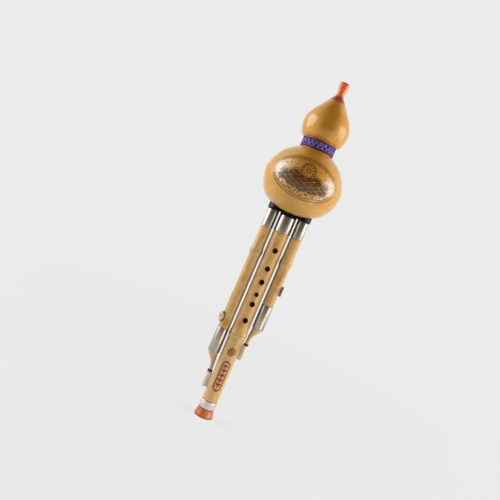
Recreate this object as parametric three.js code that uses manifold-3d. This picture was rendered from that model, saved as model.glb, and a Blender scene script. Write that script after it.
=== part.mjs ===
// Hulusi: a hollow gourd wind chamber, a melody pipe and two drone pipes of bamboo,
// each pipe sounded by a brass free reed inside the gourd.
// Millimetres. +Z runs up the melody pipe to the mouthpiece, the finger holes are on the -Y side,
// the long drone is at -X and the short drone at +X. The origin is the centre of the bell's foot.

import * as THREE from 'three';
import { mergeVertices } from 'three/addons/utils/BufferGeometryUtils.js';
import Module from 'manifold-3d';

const wasm = await Module();
wasm.setup();

// Clearances
const fit_gap = 0.3; // between pieces that seat in, on or around each other
const cut_overrun = 2; // how far a cutter passes the face that it cuts

// Facets of the round pieces
const gourd_sides = 36;
const hollow_sides = 24;
const pipe_sides = 24;
const small_sides = 18;
const tiny_sides = 12;
const outline_steps = 6; // a lobe's outline has three times as many points, or twice
const hollow_steps = 3;

// The stack along the melody pipe, from the bell's foot to the mouthpiece
const bell_length = 10.5;
const bell_ferrule_length = 8.5;
const main_pipe_length = 203.4; // bamboo that shows between its two ferrules
const upper_ferrule_length = 21.2;
const plate_thickness = 8.2;
const plate_reveal = 1.4; // black plate that shows below the middle of the gourd
const gourd_height = 135.6;
const mouthpiece_length = 23.8;

// Melody pipe
const main_pipe_radius = 9.4;
const main_foot_radius = 9.2;
const main_bore_radius = 6.2;
const main_node_height = 80.5; // above the bell's ferrule
const main_node_rise = 0.7;
const node_half_length = 6;
const finger_hole_radius = 2.8;
const small_hole_radius = 2.2;
const thumb_hole_radius = 2.8;
const thumb_hole_drop = 9; // below the upper ferrule, on the back
const vent_hole_radius = 2.2;
const hole_turn_degrees = 10; // how far the pipe stands turned, its front holes towards the short drone
// Finger holes as shares of the bamboo's length, from the bell's ferrule up
const finger_hole_shares = [0.485, 0.581, 0.638, 0.711, 0.79, 0.897];
const small_finger_hole = 2; // place of the smaller hole in that list
// Sound and cord holes low on the back, as shares of the same length
const vent_hole_shares = [0.13, 0.25, 0.36];

// Ferrules
const ferrule_wall = 0.7;
const main_ferrule_radius = 9.7;
const drone_ferrule_radius = 6.6;
const bell_ferrule_radius = 9.5;
const lower_ferrule_length = 28.2;
const lower_ferrule_grip = 9; // how deep each piece goes into the lower ferrule
const ferrule_chamfer = 0.25;

// Bell
const bell_foot_radius = 11;
const bell_mouth_radius = 8.7;
const bell_tenon_length = 3.8;
const bell_edge = 1;

// Drone pipes
const drone_spacing = 17.9; // drone axis to melody pipe axis
const drone_pipe_radius = 6.5;
const drone_bore_radius = 4;
const drone_node_drop = 29.3; // below the upper ferrule
const drone_node_rise = 0.8;
const long_drone_length = 123;
const short_drone_length = 80.9;
const long_eyelet_drop = 110.9; // below the upper ferrule, like the short one
const short_eyelet_drop = 60.4;
const long_eyelet_turn_degrees = 25; // towards the front, from straight out to the side
const short_eyelet_turn_degrees = 8;

// Oval eyelets round the drones' tone holes
const eyelet_length = 11.9;
const eyelet_width = 8.2;
const eyelet_rise = 2.8;
const eyelet_edge = 0.6;
const tone_hole_length = 6.4;
const tone_hole_width = 4;
const eyelet_wall = 0.7;

// Drone outlet nozzles, their seal rings and caps
const nozzle_length = 20.2;
const nozzle_radius = 5.9;
const nozzle_neck_radius = 1.8;
const nozzle_neck_wall = 0.7;
const nozzle_neck_offset = 5; // how far the neck stands in towards the melody pipe
const nozzle_spigot_length = 10;
const seal_ring_height = 2.2;
const seal_ring_width = 0.75;
const cap_radius = 3.4;
const cap_length = 17.2;
const cap_edge = 0.8;
// How wide the nozzle still is, 1 at its body and 0 at its neck, along its length
const nozzle_taper_shares = [
  [0, 1], [0.06, 0.97], [0.14, 0.85], [0.26, 0.65], [0.39, 0.41], [0.52, 0.23], [0.7, 0.09], [1, 0],
];

// Base plate that carries the three pipes
const plate_half_length = 25.6;
const plate_half_depth = 11.5;
const plate_edge = 0.9;
const gasket_thickness = 1;
const passage_half_length = 23.6;
const passage_half_depth = 8.6;

// Gourd
const gourd_wall = 4;
const lower_lobe_radius = 45.2;
const upper_lobe_radius = 27;
const gourd_waist_radius = 19.1;
const gourd_neck_radius = 10.3;
const gourd_waist_height = 81.4; // above the gourd's bottom
const seat_ledge = 2.6; // shell left between the plate's seat and the hollow
const gourd_neck_length = 8; // solid neck that holds the mouthpiece
// Outline as shares of the lobe's radius and of the height up to the waist
const lower_lobe_shares = [
  [0, 0], [0.27, 0.006], [0.45, 0.031], [0.575, 0.069], [0.677, 0.107], [0.785, 0.161], [0.875, 0.243],
  [0.948, 0.337], [1, 0.494], [0.983, 0.579], [0.925, 0.68], [0.85, 0.771], [0.755, 0.849],
  [0.645, 0.911], [0.52, 0.966],
];
// Outline as shares of the lobe's radius and of the height from the waist to the top
const upper_lobe_shares = [
  [0.85, 0.042], [0.925, 0.14], [0.978, 0.252], [1, 0.354], [0.96, 0.484], [0.873, 0.597],
  [0.745, 0.719], [0.597, 0.828], [0.473, 0.925],
];

// Waist band
const band_height = 11.2;
const band_thickness = 0.8;
const band_margin = 0.35; // bare gourd above and below the band

// Mouthpiece
const mouth_bore_radius = 2.4;
const mouth_skirt_radius = 9.5;
const mouth_lip_radius = 5.7;
const mouth_hole_radius = 7.2;
const mouth_tenon_length = 9;
const sleeve_thickness = 1.2;
const sleeve_setback = 1.5;
// Outline from the skirt to the lip, as shares of the skirt's radius and of the length
const mouth_skirt_shares = [[1, 0], [0.985, 0.03], [0.9, 0.075], [0.77, 0.15], [0.62, 0.235], [0.51, 0.305]];
// The rest, as shares of the lip's radius and of the length
const mouth_lip_shares = [
  [0.79, 0.375], [0.76, 0.465], [0.8, 0.57], [0.87, 0.67], [0.955, 0.77], [1, 0.85], [0.98, 0.92],
  [0.89, 0.975], [0.76, 1],
];

// Reeds: a brass tube through the plate, a reed plate on its flat and a plug in its top
const reed_tube_wall = 1.1;
const reed_tube_grip = 14; // how deep the tube goes into the bamboo
const main_reed_height = 46; // above the plate
const drone_reed_height = 38;
const reed_collar_width = 1.3;
const reed_collar_height = 1.6;
const reed_flat_depth = 0.6;
const reed_plate_length = 24;
const reed_plate_thickness = 0.5;
const reed_plate_drop = 5; // below the tube's top
const reed_window_margin = 3;
const reed_slit = 0.3;
const tongue_length = 14;
const tongue_share = 0.42; // tongue's root as a share of the plate's width
const reed_window_share = 0.6; // window's width as a share of the plate's width
const reed_plug_depth = 4;
const reed_plug_head = 1.5;

// Heights worked out from the stack
const bell_ferrule_top = bell_length + bell_ferrule_length;
const main_pipe_top = bell_ferrule_top + main_pipe_length;
const plate_bottom = main_pipe_top + upper_ferrule_length;
const plate_top = plate_bottom + plate_thickness;
const gasket_bottom = plate_top + fit_gap;
const seat_height = gasket_bottom + gasket_thickness + fit_gap;
const gourd_bottom = plate_bottom + plate_reveal;
const gourd_top = gourd_bottom + gourd_height;
const waist_middle = gourd_bottom + gourd_waist_height;

// Radii that follow from what a piece fits into
const main_tenon_radius = main_ferrule_radius - ferrule_wall - fit_gap;
const drone_tenon_radius = drone_ferrule_radius - ferrule_wall - fit_gap;
const bell_tenon_radius = bell_ferrule_radius - ferrule_wall - fit_gap;
const main_reed_radius = main_bore_radius - fit_gap;
const drone_reed_radius = drone_bore_radius - fit_gap;
const sleeve_radius = mouth_hole_radius - fit_gap;
const mouth_tenon_radius = sleeve_radius - sleeve_thickness - fit_gap;
const nozzle_bore_radius = nozzle_neck_radius - nozzle_neck_wall;

// Finishes: colour, roughness, metalness
const finishes = {
  gourd: [0xc98f3d, 0.42, 0],
  bamboo: [0xc9a052, 0.5, 0],
  amber: [0xb04a1c, 0.22, 0],
  chrome: [0xc9c8c6, 0.2, 1],
  black: [0x141213, 0.18, 0],
  band: [0x4a3a86, 0.85, 0],
  nozzle: [0xb9853c, 0.4, 0],
  bone: [0xd8cdb8, 0.45, 0],
  rubber: [0x17100f, 0.6, 0],
  cork: [0xa77b4c, 0.9, 0],
  brass: [0xb98d3e, 0.3, 1],
};

// Revolve an outline of [radius, height] points about the Z axis.
function revolve(outline, sides) {
  const points = outline.map(([radius, height]) => new THREE.Vector2(radius, height));
  const shape = new THREE.LatheGeometry(points, sides);
  shape.rotateX(Math.PI / 2);
  return shape;
}

// A tube's outline: up the outside, then down the bore and closed.
function tube_outline(inner, outer, bottom, top, chamfer) {
  return [
    [inner, bottom],
    [outer - chamfer, bottom],
    [outer, bottom + chamfer],
    [outer, top - chamfer],
    [outer - chamfer, top],
    [inner, top],
    [inner, bottom],
  ];
}

function tube(inner, outer, bottom, top, sides, chamfer = 0) {
  const outline = tube_outline(inner, outer, bottom, top, chamfer);
  const corners = outline.filter((point, i) => i === 0 || !same_point(point, outline[i - 1]));
  return revolve(corners, sides);
}

function same_point(a, b) {
  return a[0] === b[0] && a[1] === b[1];
}

function rod(radius, bottom, top, sides) {
  return revolve([[0, bottom], [radius, bottom], [radius, top], [0, top]], sides);
}

// A closed geometry as a manifold solid, with shared corners merged and flat slivers dropped.
function solid(geometry) {
  const bare = geometry.clone();
  for (const name of Object.keys(bare.attributes)) {
    if (name !== 'position') bare.deleteAttribute(name);
  }
  const merged = mergeVertices(bare);
  const corners = merged.index.array;
  const kept = [];
  for (let i = 0; i < corners.length; i += 3) {
    const [a, b, c] = [corners[i], corners[i + 1], corners[i + 2]];
    if (a !== b && b !== c && c !== a) kept.push(a, b, c);
  }
  const vertProperties = new Float32Array(merged.attributes.position.array);
  const triVerts = new Uint32Array(kept);
  return new wasm.Manifold(new wasm.Mesh({ numProp: 3, vertProperties, triVerts }));
}

function geometry_of(body) {
  const { vertProperties, triVerts } = body.getMesh();
  const geometry = new THREE.BufferGeometry();
  geometry.setAttribute('position', new THREE.BufferAttribute(new Float32Array(vertProperties), 3));
  geometry.setIndex(new THREE.BufferAttribute(new Uint32Array(triVerts), 1));
  geometry.computeVertexNormals();
  return geometry;
}

// Cut each tool from a geometry.
function cut(geometry, tools) {
  const body = tools.reduce((left, tool) => left.subtract(solid(tool)), solid(geometry));
  return geometry_of(body);
}

function join(geometry, other) {
  return geometry_of(solid(geometry).add(solid(other)));
}

function piece(name, geometry, finish) {
  const [color, roughness, metalness] = finishes[finish];
  const mesh = new THREE.Mesh(geometry, new THREE.MeshStandardMaterial({ color, roughness, metalness }));
  mesh.name = name;
  return mesh;
}

// A slab with two round ends, the long way along X.
function stadium(half_length, half_depth, bottom, top, edge = 0) {
  const reach = half_length - half_depth;
  const outline = new THREE.Shape();
  outline.absarc(reach, 0, half_depth, -Math.PI / 2, Math.PI / 2, false);
  outline.absarc(-reach, 0, half_depth, Math.PI / 2, 3 * Math.PI / 2, false);
  const slab = new THREE.ExtrudeGeometry(outline, {
    depth: top - bottom - 2 * edge,
    bevelEnabled: edge > 0,
    bevelThickness: edge,
    bevelSize: edge,
    bevelOffset: -edge,
    bevelSegments: 2,
    curveSegments: tiny_sides,
  });
  slab.translate(0, 0, bottom + edge);
  return slab;
}

// An oval disc that stands out along +X from one distance to another.
function oval(length, width, from, to, edge = 0) {
  const outline = new THREE.Shape();
  outline.absellipse(0, 0, length / 2, width / 2, 0, 2 * Math.PI, false, 0);
  const disc = new THREE.ExtrudeGeometry(outline, {
    depth: to - from - edge,
    bevelEnabled: edge > 0,
    bevelThickness: edge,
    bevelSize: edge,
    bevelOffset: -edge,
    bevelSegments: 2,
    curveSegments: tiny_sides / 2,
  });
  disc.rotateY(Math.PI / 2);
  disc.translate(from, 0, 0);
  return disc;
}

// A round hole's cutter through the melody pipe's wall, from its axis out to the front or the back.
function wall_drill(radius, reach, height, side) {
  const drill = new THREE.CylinderGeometry(radius, radius, reach, tiny_sides);
  drill.translate(0, side * reach / 2, height);
  drill.rotateZ(THREE.MathUtils.degToRad(hole_turn_degrees));
  return drill;
}

// A solid through a row of circles, each with its own radius, X and height, bottom one first.
function loft(rings, sides) {
  const places = [];
  const corners = [];
  const last = (rings.length - 1) * sides;
  for (const ring of rings) {
    for (let i = 0; i < sides; i += 1) {
      const turn = 2 * Math.PI * i / sides;
      places.push(ring.x + ring.radius * Math.cos(turn), ring.radius * Math.sin(turn), ring.z);
    }
  }
  for (let row = 0; row < last; row += sides) {
    for (let i = 0; i < sides; i += 1) {
      const j = (i + 1) % sides;
      corners.push(row + i, row + j, row + sides + j, row + i, row + sides + j, row + sides + i);
    }
  }
  for (let i = 1; i < sides - 1; i += 1) {
    corners.push(0, i + 1, i, last, last + i, last + i + 1);
  }
  const geometry = new THREE.BufferGeometry();
  geometry.setAttribute('position', new THREE.Float32BufferAttribute(places, 3));
  geometry.setIndex(corners);
  return geometry;
}

// Gourd

// A smooth run of outline points through the given ones.
function smooth(points, steps) {
  const curve = new THREE.SplineCurve(points.map(([radius, height]) => new THREE.Vector2(radius, height)));
  return curve.getPoints(steps).map((point) => [Math.max(point.x, 0), point.y]);
}

function gourd_outline(steps) {
  const land = band_height / 2 + band_margin;
  const land_bottom = waist_middle - land;
  const land_top = waist_middle + land;
  const lower_rise = land_bottom - gourd_bottom;
  const upper_rise = gourd_top - land_top;
  const lower = lower_lobe_shares.map(([radius, height]) => [
    radius * lower_lobe_radius,
    gourd_bottom + height * lower_rise,
  ]);
  const upper = upper_lobe_shares.map(([radius, height]) => [
    radius * upper_lobe_radius,
    land_top + height * upper_rise,
  ]);
  return [
    ...smooth([...lower, [gourd_waist_radius, land_bottom]], 3 * steps),
    ...smooth([[gourd_waist_radius, land_top], ...upper, [gourd_neck_radius, gourd_top]], 2 * steps),
  ];
}

// The hollow follows the outline at the wall's thickness, with a flat floor and roof.
function gourd_hollow() {
  const outline = gourd_outline(hollow_steps);
  const floor = seat_height + seat_ledge;
  const roof = gourd_top - gourd_neck_length;
  const inside = [];
  for (let i = 1; i < outline.length - 1; i += 1) {
    const along_radius = outline[i + 1][0] - outline[i - 1][0];
    const along_height = outline[i + 1][1] - outline[i - 1][1];
    const length = Math.hypot(along_radius, along_height);
    const radius = outline[i][0] - gourd_wall * along_height / length;
    const height = outline[i][1] + gourd_wall * along_radius / length;
    if (height > floor && height < roof) inside.push([radius, height]);
  }
  const first = inside[0][0];
  const last = inside[inside.length - 1][0];
  return revolve([[0, floor], [first, floor], ...inside.slice(1), [last, roof], [0, roof]], hollow_sides);
}

function gourd_shell() {
  const outside = revolve([...gourd_outline(outline_steps), [0, gourd_top]], gourd_sides);
  const below = gourd_bottom - cut_overrun;
  const above = gourd_top + cut_overrun;
  const roof = gourd_top - gourd_neck_length;
  return cut(outside, [
    gourd_hollow(),
    stadium(plate_half_length + fit_gap, plate_half_depth + fit_gap, below, seat_height),
    stadium(passage_half_length, passage_half_depth, below, seat_height + seat_ledge + cut_overrun),
    rod(mouth_hole_radius, roof - cut_overrun, above, small_sides),
  ]);
}

function waist_band() {
  const inner = gourd_waist_radius + fit_gap;
  const bottom = waist_middle - band_height / 2;
  return tube(inner, inner + band_thickness, bottom, bottom + band_height, gourd_sides);
}

// Mouthpiece

function mouthpiece() {
  const seat = gourd_top + fit_gap;
  const tenon_end = gourd_top - mouth_tenon_length;
  const rise = mouthpiece_length - fit_gap;
  const scaled = (shares, radius) => shares.map(([out, up]) => [out * radius, seat + up * rise]);
  return revolve([
    [mouth_bore_radius, tenon_end],
    [mouth_tenon_radius, tenon_end],
    [mouth_tenon_radius, seat],
    ...scaled(mouth_skirt_shares, mouth_skirt_radius),
    ...scaled(mouth_lip_shares, mouth_lip_radius),
    [mouth_bore_radius, seat + rise],
    [mouth_bore_radius, tenon_end],
  ], small_sides);
}

function mouthpiece_sleeve() {
  const inner = sleeve_radius - sleeve_thickness;
  const bottom = gourd_top - mouth_tenon_length + sleeve_setback;
  return tube(inner, sleeve_radius, bottom, gourd_top - fit_gap, small_sides);
}

// Base plate and its gasket

function base_plate() {
  const low = plate_bottom - cut_overrun;
  const high = plate_top + cut_overrun;
  const drone_hole = rod(drone_reed_radius + fit_gap, low, high, small_sides);
  return cut(stadium(plate_half_length, plate_half_depth, plate_bottom, plate_top, plate_edge), [
    rod(main_reed_radius + fit_gap, low, high, small_sides),
    drone_hole.clone().translate(drone_spacing, 0, 0),
    drone_hole.clone().translate(-drone_spacing, 0, 0),
  ]);
}

function base_gasket() {
  const top = gasket_bottom + gasket_thickness;
  const ring = stadium(plate_half_length - fit_gap, plate_half_depth - fit_gap, gasket_bottom, top);
  const opening = stadium(
    passage_half_length, passage_half_depth, gasket_bottom - cut_overrun, top + cut_overrun,
  );
  return cut(ring, [opening]);
}

// Bamboo

// The ring at a bamboo node: a swelling with a groove along its middle.
function node_ring(radius, height, rise) {
  const shares = [[-1, 0], [-0.5, 0.3], [-0.2, 1], [0, 0.5], [0.2, 1], [0.5, 0.3], [1, 0]];
  return shares.map(([along, out]) => [radius + out * rise, height + along * node_half_length]);
}

function main_pipe() {
  const tenon_bottom = bell_length + bell_tenon_length + fit_gap;
  const foot = bell_ferrule_top + fit_gap;
  const shoulder = main_pipe_top - fit_gap;
  const top = plate_bottom - fit_gap;
  const node_height = bell_ferrule_top + main_node_height;
  const node_share = main_node_height / main_pipe_length;
  const node_radius = main_foot_radius + node_share * (main_pipe_radius - main_foot_radius);
  const pipe = revolve([
    [main_bore_radius, tenon_bottom],
    [bell_tenon_radius, tenon_bottom],
    [bell_tenon_radius, foot],
    [main_foot_radius, foot],
    ...node_ring(node_radius, node_height, main_node_rise),
    [main_pipe_radius, shoulder],
    [main_tenon_radius, shoulder],
    [main_tenon_radius, top],
    [main_bore_radius, top],
    [main_bore_radius, tenon_bottom],
  ], pipe_sides);
  const reach = main_pipe_radius + cut_overrun;
  const height_at = (share) => bell_ferrule_top + share * main_pipe_length;
  const drills = finger_hole_shares.map((share, i) => {
    const radius = i === small_finger_hole ? small_hole_radius : finger_hole_radius;
    return wall_drill(radius, reach, height_at(share), -1);
  });
  const vents = vent_hole_shares.map((share) => wall_drill(vent_hole_radius, reach, height_at(share), 1));
  const thumb = wall_drill(thumb_hole_radius, reach, main_pipe_top - thumb_hole_drop, 1);
  return cut(pipe, [...drills, ...vents, thumb]);
}

function drone_pipe(length, eyelet_drop, eyelet_turn) {
  const foot = main_pipe_top - length;
  const shoulder = main_pipe_top - fit_gap;
  const top = plate_bottom - fit_gap;
  const tenon_bottom = foot - lower_ferrule_grip;
  const pipe = revolve([
    [drone_bore_radius, tenon_bottom],
    [drone_tenon_radius, tenon_bottom],
    [drone_tenon_radius, foot + fit_gap],
    [drone_pipe_radius, foot + fit_gap],
    ...node_ring(drone_pipe_radius, main_pipe_top - drone_node_drop, drone_node_rise),
    [drone_pipe_radius, shoulder],
    [drone_tenon_radius, shoulder],
    [drone_tenon_radius, top],
    [drone_bore_radius, top],
    [drone_bore_radius, tenon_bottom],
  ], pipe_sides);
  const hole = oval(tone_hole_length, tone_hole_width, 0, drone_pipe_radius + cut_overrun);
  hole.rotateZ(eyelet_turn);
  hole.translate(0, 0, main_pipe_top - eyelet_drop);
  return cut(pipe, [hole]);
}

// An oval flange that follows the bamboo, with a hollow spigot in the tone hole.
function eyelet(eyelet_drop, eyelet_turn) {
  const spigot_length = tone_hole_length - 2 * fit_gap;
  const spigot_width = tone_hole_width - 2 * fit_gap;
  const proud = drone_pipe_radius + eyelet_rise;
  const seat = rod(drone_pipe_radius + fit_gap, -eyelet_length, eyelet_length, pipe_sides);
  const flange = cut(oval(eyelet_length, eyelet_width, drone_bore_radius, proud, eyelet_edge), [seat]);
  const spigot = oval(spigot_length, spigot_width, drone_bore_radius + fit_gap, proud - eyelet_edge);
  const bore_length = spigot_length - 2 * eyelet_wall;
  const bore_width = spigot_width - 2 * eyelet_wall;
  const bore = oval(bore_length, bore_width, 0, proud + cut_overrun);
  const ring = cut(join(flange, spigot), [bore]);
  ring.rotateZ(eyelet_turn);
  ring.translate(0, 0, main_pipe_top - eyelet_drop);
  return ring;
}

// Ferrules and bell

function ferrule(radius, bottom, top) {
  return tube(radius - ferrule_wall, radius, bottom, top, pipe_sides, ferrule_chamfer);
}

function bell() {
  const waist = bell_ferrule_radius - fit_gap;
  const top = bell_length - fit_gap;
  const tenon_top = bell_length + bell_tenon_length;
  const flare_shares = [[1, 0.1], [0.97, 0.19], [0.77, 0.34], [0.47, 0.53], [0.2, 0.74], [0.04, 0.9]];
  const flare = flare_shares.map(([out, up]) => [
    waist + out * (bell_foot_radius - waist),
    up * bell_length,
  ]);
  const mouth_shares = [[0.3, 0.75], [0.6, 0.4]];
  const mouth = mouth_shares.map(([out, up]) => [
    main_bore_radius + out * (bell_mouth_radius - main_bore_radius),
    up * bell_length,
  ]);
  return revolve([
    [bell_mouth_radius, 0],
    [bell_foot_radius - bell_edge, 0],
    ...flare,
    [waist, top],
    [bell_tenon_radius, top],
    [bell_tenon_radius, tenon_top],
    [main_bore_radius, tenon_top],
    ...mouth,
    [bell_mouth_radius, 0],
  ], pipe_sides);
}

// Drone outlet: nozzle, seal ring and cap, about the drone's own axis with +X facing outwards

function nozzle(ferrule_bottom) {
  const top = ferrule_bottom + lower_ferrule_grip;
  const shoulder = ferrule_bottom - fit_gap;
  const neck_height = ferrule_bottom - nozzle_length;
  const spigot_end = neck_height - seal_ring_height - nozzle_spigot_length;
  const rings = (wide, narrow) => nozzle_taper_shares.map(([along, width]) => ({
    x: -nozzle_neck_offset * (1 - width),
    z: shoulder - along * (shoulder - neck_height),
    radius: narrow + width * (wide - narrow),
  })).reverse();
  const neck = (radius, height) => ({ x: -nozzle_neck_offset, z: height, radius });
  const outside = loft([
    neck(nozzle_neck_radius, spigot_end),
    ...rings(nozzle_radius, nozzle_neck_radius),
    { x: 0, z: shoulder, radius: drone_tenon_radius },
    { x: 0, z: top, radius: drone_tenon_radius },
  ], small_sides);
  const inside = loft([
    neck(nozzle_bore_radius, spigot_end - cut_overrun),
    ...rings(drone_bore_radius, nozzle_bore_radius),
    { x: 0, z: top + cut_overrun, radius: drone_bore_radius },
  ], tiny_sides);
  return cut(outside, [inside]);
}

function seal_ring(ferrule_bottom) {
  const inner = nozzle_neck_radius + fit_gap;
  const top = ferrule_bottom - nozzle_length;
  const chamfer = seal_ring_width / 2;
  const ring = tube(inner, inner + seal_ring_width, top - seal_ring_height, top, small_sides, chamfer);
  return ring.translate(-nozzle_neck_offset, 0, 0);
}

function outlet_cap(ferrule_bottom) {
  const inner = nozzle_neck_radius + fit_gap;
  const top = ferrule_bottom - nozzle_length - seal_ring_height - fit_gap;
  const bottom = top - cap_length;
  const floor = top - nozzle_spigot_length - fit_gap;
  const cap = revolve([
    [0, bottom],
    [cap_radius - cap_edge, bottom],
    [cap_radius, bottom + cap_edge],
    [cap_radius, top - cap_edge / 2],
    [cap_radius - cap_edge / 2, top],
    [inner, top],
    [inner, floor],
    [0, floor],
  ], small_sides);
  return cap.translate(-nozzle_neck_offset, 0, 0);
}

// Reeds

function half_chord(radius) {
  const flat = radius - reed_flat_depth;
  return Math.sqrt(radius * radius - flat * flat);
}

function reed_middle(height) {
  return plate_top + height - reed_plate_drop - reed_plate_length / 2;
}

// A brass tube with a collar on the plate, a flat for the reed plate and a window behind it.
function reed_tube(radius, height) {
  const inner = radius - reed_tube_wall;
  const bottom = plate_bottom - reed_tube_grip;
  const top = plate_top + height;
  const collar_bottom = plate_top + fit_gap;
  const collar_radius = radius + reed_collar_width;
  const body = revolve([
    [inner, bottom],
    [radius, bottom],
    [radius, collar_bottom],
    [collar_radius, collar_bottom],
    [collar_radius, collar_bottom + reed_collar_height],
    [radius, collar_bottom + reed_collar_height],
    [radius, top],
    [inner, top],
    [inner, bottom],
  ], small_sides);
  const flat_length = reed_plate_length + 2 * fit_gap;
  const flat = new THREE.BoxGeometry(2 * radius, radius, flat_length);
  flat.translate(0, reed_flat_depth - radius - radius / 2, reed_middle(height));
  const window_width = 2 * half_chord(radius) * reed_window_share;
  const window_length = reed_plate_length - 2 * reed_window_margin;
  const opening = new THREE.BoxGeometry(window_width, radius, window_length);
  opening.translate(0, -radius / 2 - inner / 2, reed_middle(height));
  return cut(body, [flat, opening]);
}

// A flat plate whose pointed tongue is freed by a slit along its two long sides.
function reed_plate(radius, height) {
  const half_width = half_chord(radius) - fit_gap / 2;
  const half_length = reed_plate_length / 2;
  const outline = new THREE.Shape([
    new THREE.Vector2(-half_width, -half_length),
    new THREE.Vector2(half_width, -half_length),
    new THREE.Vector2(half_width, half_length),
    new THREE.Vector2(-half_width, half_length),
  ]);
  const root = tongue_share * half_width;
  const base = tongue_length / 2;
  const slit = new THREE.Path([
    new THREE.Vector2(-root, base),
    new THREE.Vector2(0, -base),
    new THREE.Vector2(root, base),
    new THREE.Vector2(root + reed_slit, base),
    new THREE.Vector2(0, -base - 2 * reed_slit),
    new THREE.Vector2(-root - reed_slit, base),
  ]);
  outline.holes.push(slit);
  const plate = new THREE.ExtrudeGeometry(outline, { depth: reed_plate_thickness, bevelEnabled: false });
  plate.rotateX(Math.PI / 2);
  plate.translate(0, reed_flat_depth - radius - fit_gap, reed_middle(height));
  return plate;
}

function reed_plug(radius, height) {
  const top = plate_top + height;
  const inner = radius - reed_tube_wall - fit_gap;
  return revolve([
    [0, top - reed_plug_depth],
    [inner, top - reed_plug_depth],
    [inner, top + fit_gap],
    [radius, top + fit_gap],
    [radius, top + fit_gap + reed_plug_head],
    [0, top + fit_gap + reed_plug_head],
  ], tiny_sides);
}

function reed_set(name, radius, height) {
  return [
    piece(`${name}_reed_tube`, reed_tube(radius, height), 'brass'),
    piece(`${name}_reed_plate`, reed_plate(radius, height), 'brass'),
    piece(`${name}_reed_plug`, reed_plug(radius, height), 'black'),
  ];
}

// Assembly

function wind_chamber() {
  const group = new THREE.Group();
  group.add(
    piece('gourd_shell', gourd_shell(), 'gourd'),
    piece('waist_band', waist_band(), 'band'),
    piece('mouthpiece', mouthpiece(), 'amber'),
    piece('mouthpiece_sleeve', mouthpiece_sleeve(), 'cork'),
    piece('base_plate', base_plate(), 'black'),
    piece('base_gasket', base_gasket(), 'rubber'),
  );
  return group;
}

function melody_pipe() {
  const group = new THREE.Group();
  const ferrule_top = plate_bottom - fit_gap;
  group.add(
    piece('main_pipe', main_pipe(), 'bamboo'),
    piece('main_upper_ferrule', ferrule(main_ferrule_radius, main_pipe_top, ferrule_top), 'chrome'),
    piece('bell_ferrule', ferrule(bell_ferrule_radius, bell_length, bell_ferrule_top), 'chrome'),
    piece('bell', bell(), 'amber'),
    ...reed_set('main', main_reed_radius, main_reed_height),
  );
  return group;
}

// One drone about its own axis, with +X facing outwards, then turned to its side.
function drone(name, side, length, eyelet_drop, eyelet_turn_degrees) {
  const group = new THREE.Group();
  const eyelet_turn = -side * THREE.MathUtils.degToRad(eyelet_turn_degrees);
  const foot = main_pipe_top - length;
  const ferrule_bottom = foot - lower_ferrule_length;
  const ferrule_top = plate_bottom - fit_gap;
  group.add(
    piece(`${name}_pipe`, drone_pipe(length, eyelet_drop, eyelet_turn), 'bamboo'),
    piece(`${name}_upper_ferrule`, ferrule(drone_ferrule_radius, main_pipe_top, ferrule_top), 'chrome'),
    piece(`${name}_lower_ferrule`, ferrule(drone_ferrule_radius, ferrule_bottom, foot), 'chrome'),
    piece(`${name}_eyelet`, eyelet(eyelet_drop, eyelet_turn), 'bone'),
    piece(`${name}_nozzle`, nozzle(ferrule_bottom), 'nozzle'),
    piece(`${name}_seal_ring`, seal_ring(ferrule_bottom), 'rubber'),
    piece(`${name}_cap`, outlet_cap(ferrule_bottom), 'bone'),
    ...reed_set(name, drone_reed_radius, drone_reed_height),
  );
  group.position.x = side * drone_spacing;
  group.rotation.z = side > 0 ? 0 : Math.PI;
  return group;
}

const hulusi = new THREE.Group();
hulusi.add(
  wind_chamber(),
  melody_pipe(),
  drone('long_drone', -1, long_drone_length, long_eyelet_drop, long_eyelet_turn_degrees),
  drone('short_drone', 1, short_drone_length, short_eyelet_drop, short_eyelet_turn_degrees),
);

export default hulusi;
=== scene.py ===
# A hulusi: a two-lobed gourd with an amber mouthpiece, a bamboo melody pipe with a flared bell, and
# two bamboo drones whose outlets are closed by pale pull-off caps. Metres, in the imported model's frame:
# +Z runs up the melody pipe, the finger holes face -Y and the short drone stands at +X.
import math

import bpy
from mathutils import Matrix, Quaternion, Vector


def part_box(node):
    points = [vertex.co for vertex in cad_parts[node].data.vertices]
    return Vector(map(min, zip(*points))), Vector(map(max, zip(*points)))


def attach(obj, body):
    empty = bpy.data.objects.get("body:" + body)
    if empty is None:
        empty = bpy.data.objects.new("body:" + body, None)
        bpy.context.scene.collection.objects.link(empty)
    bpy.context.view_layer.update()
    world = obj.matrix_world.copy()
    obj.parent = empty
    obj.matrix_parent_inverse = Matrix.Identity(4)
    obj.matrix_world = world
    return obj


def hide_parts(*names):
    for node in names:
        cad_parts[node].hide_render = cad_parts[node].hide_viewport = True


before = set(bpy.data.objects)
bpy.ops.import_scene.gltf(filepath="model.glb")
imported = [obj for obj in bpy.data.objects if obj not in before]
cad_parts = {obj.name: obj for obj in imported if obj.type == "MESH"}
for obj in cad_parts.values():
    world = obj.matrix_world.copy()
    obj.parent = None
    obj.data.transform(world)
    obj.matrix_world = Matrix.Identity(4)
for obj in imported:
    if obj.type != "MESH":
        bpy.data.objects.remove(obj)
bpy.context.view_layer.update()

mm = 0.001
round_turn = 2 * math.pi


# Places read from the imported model

def foot_of(node):
    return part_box(node)[0].z


def top_of(node):
    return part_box(node)[1].z


def radius_of(node):
    low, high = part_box(node)
    return (high.y - low.y) / 2


def middle_of(node):
    low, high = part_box(node)
    return (low + high) / 2


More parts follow.
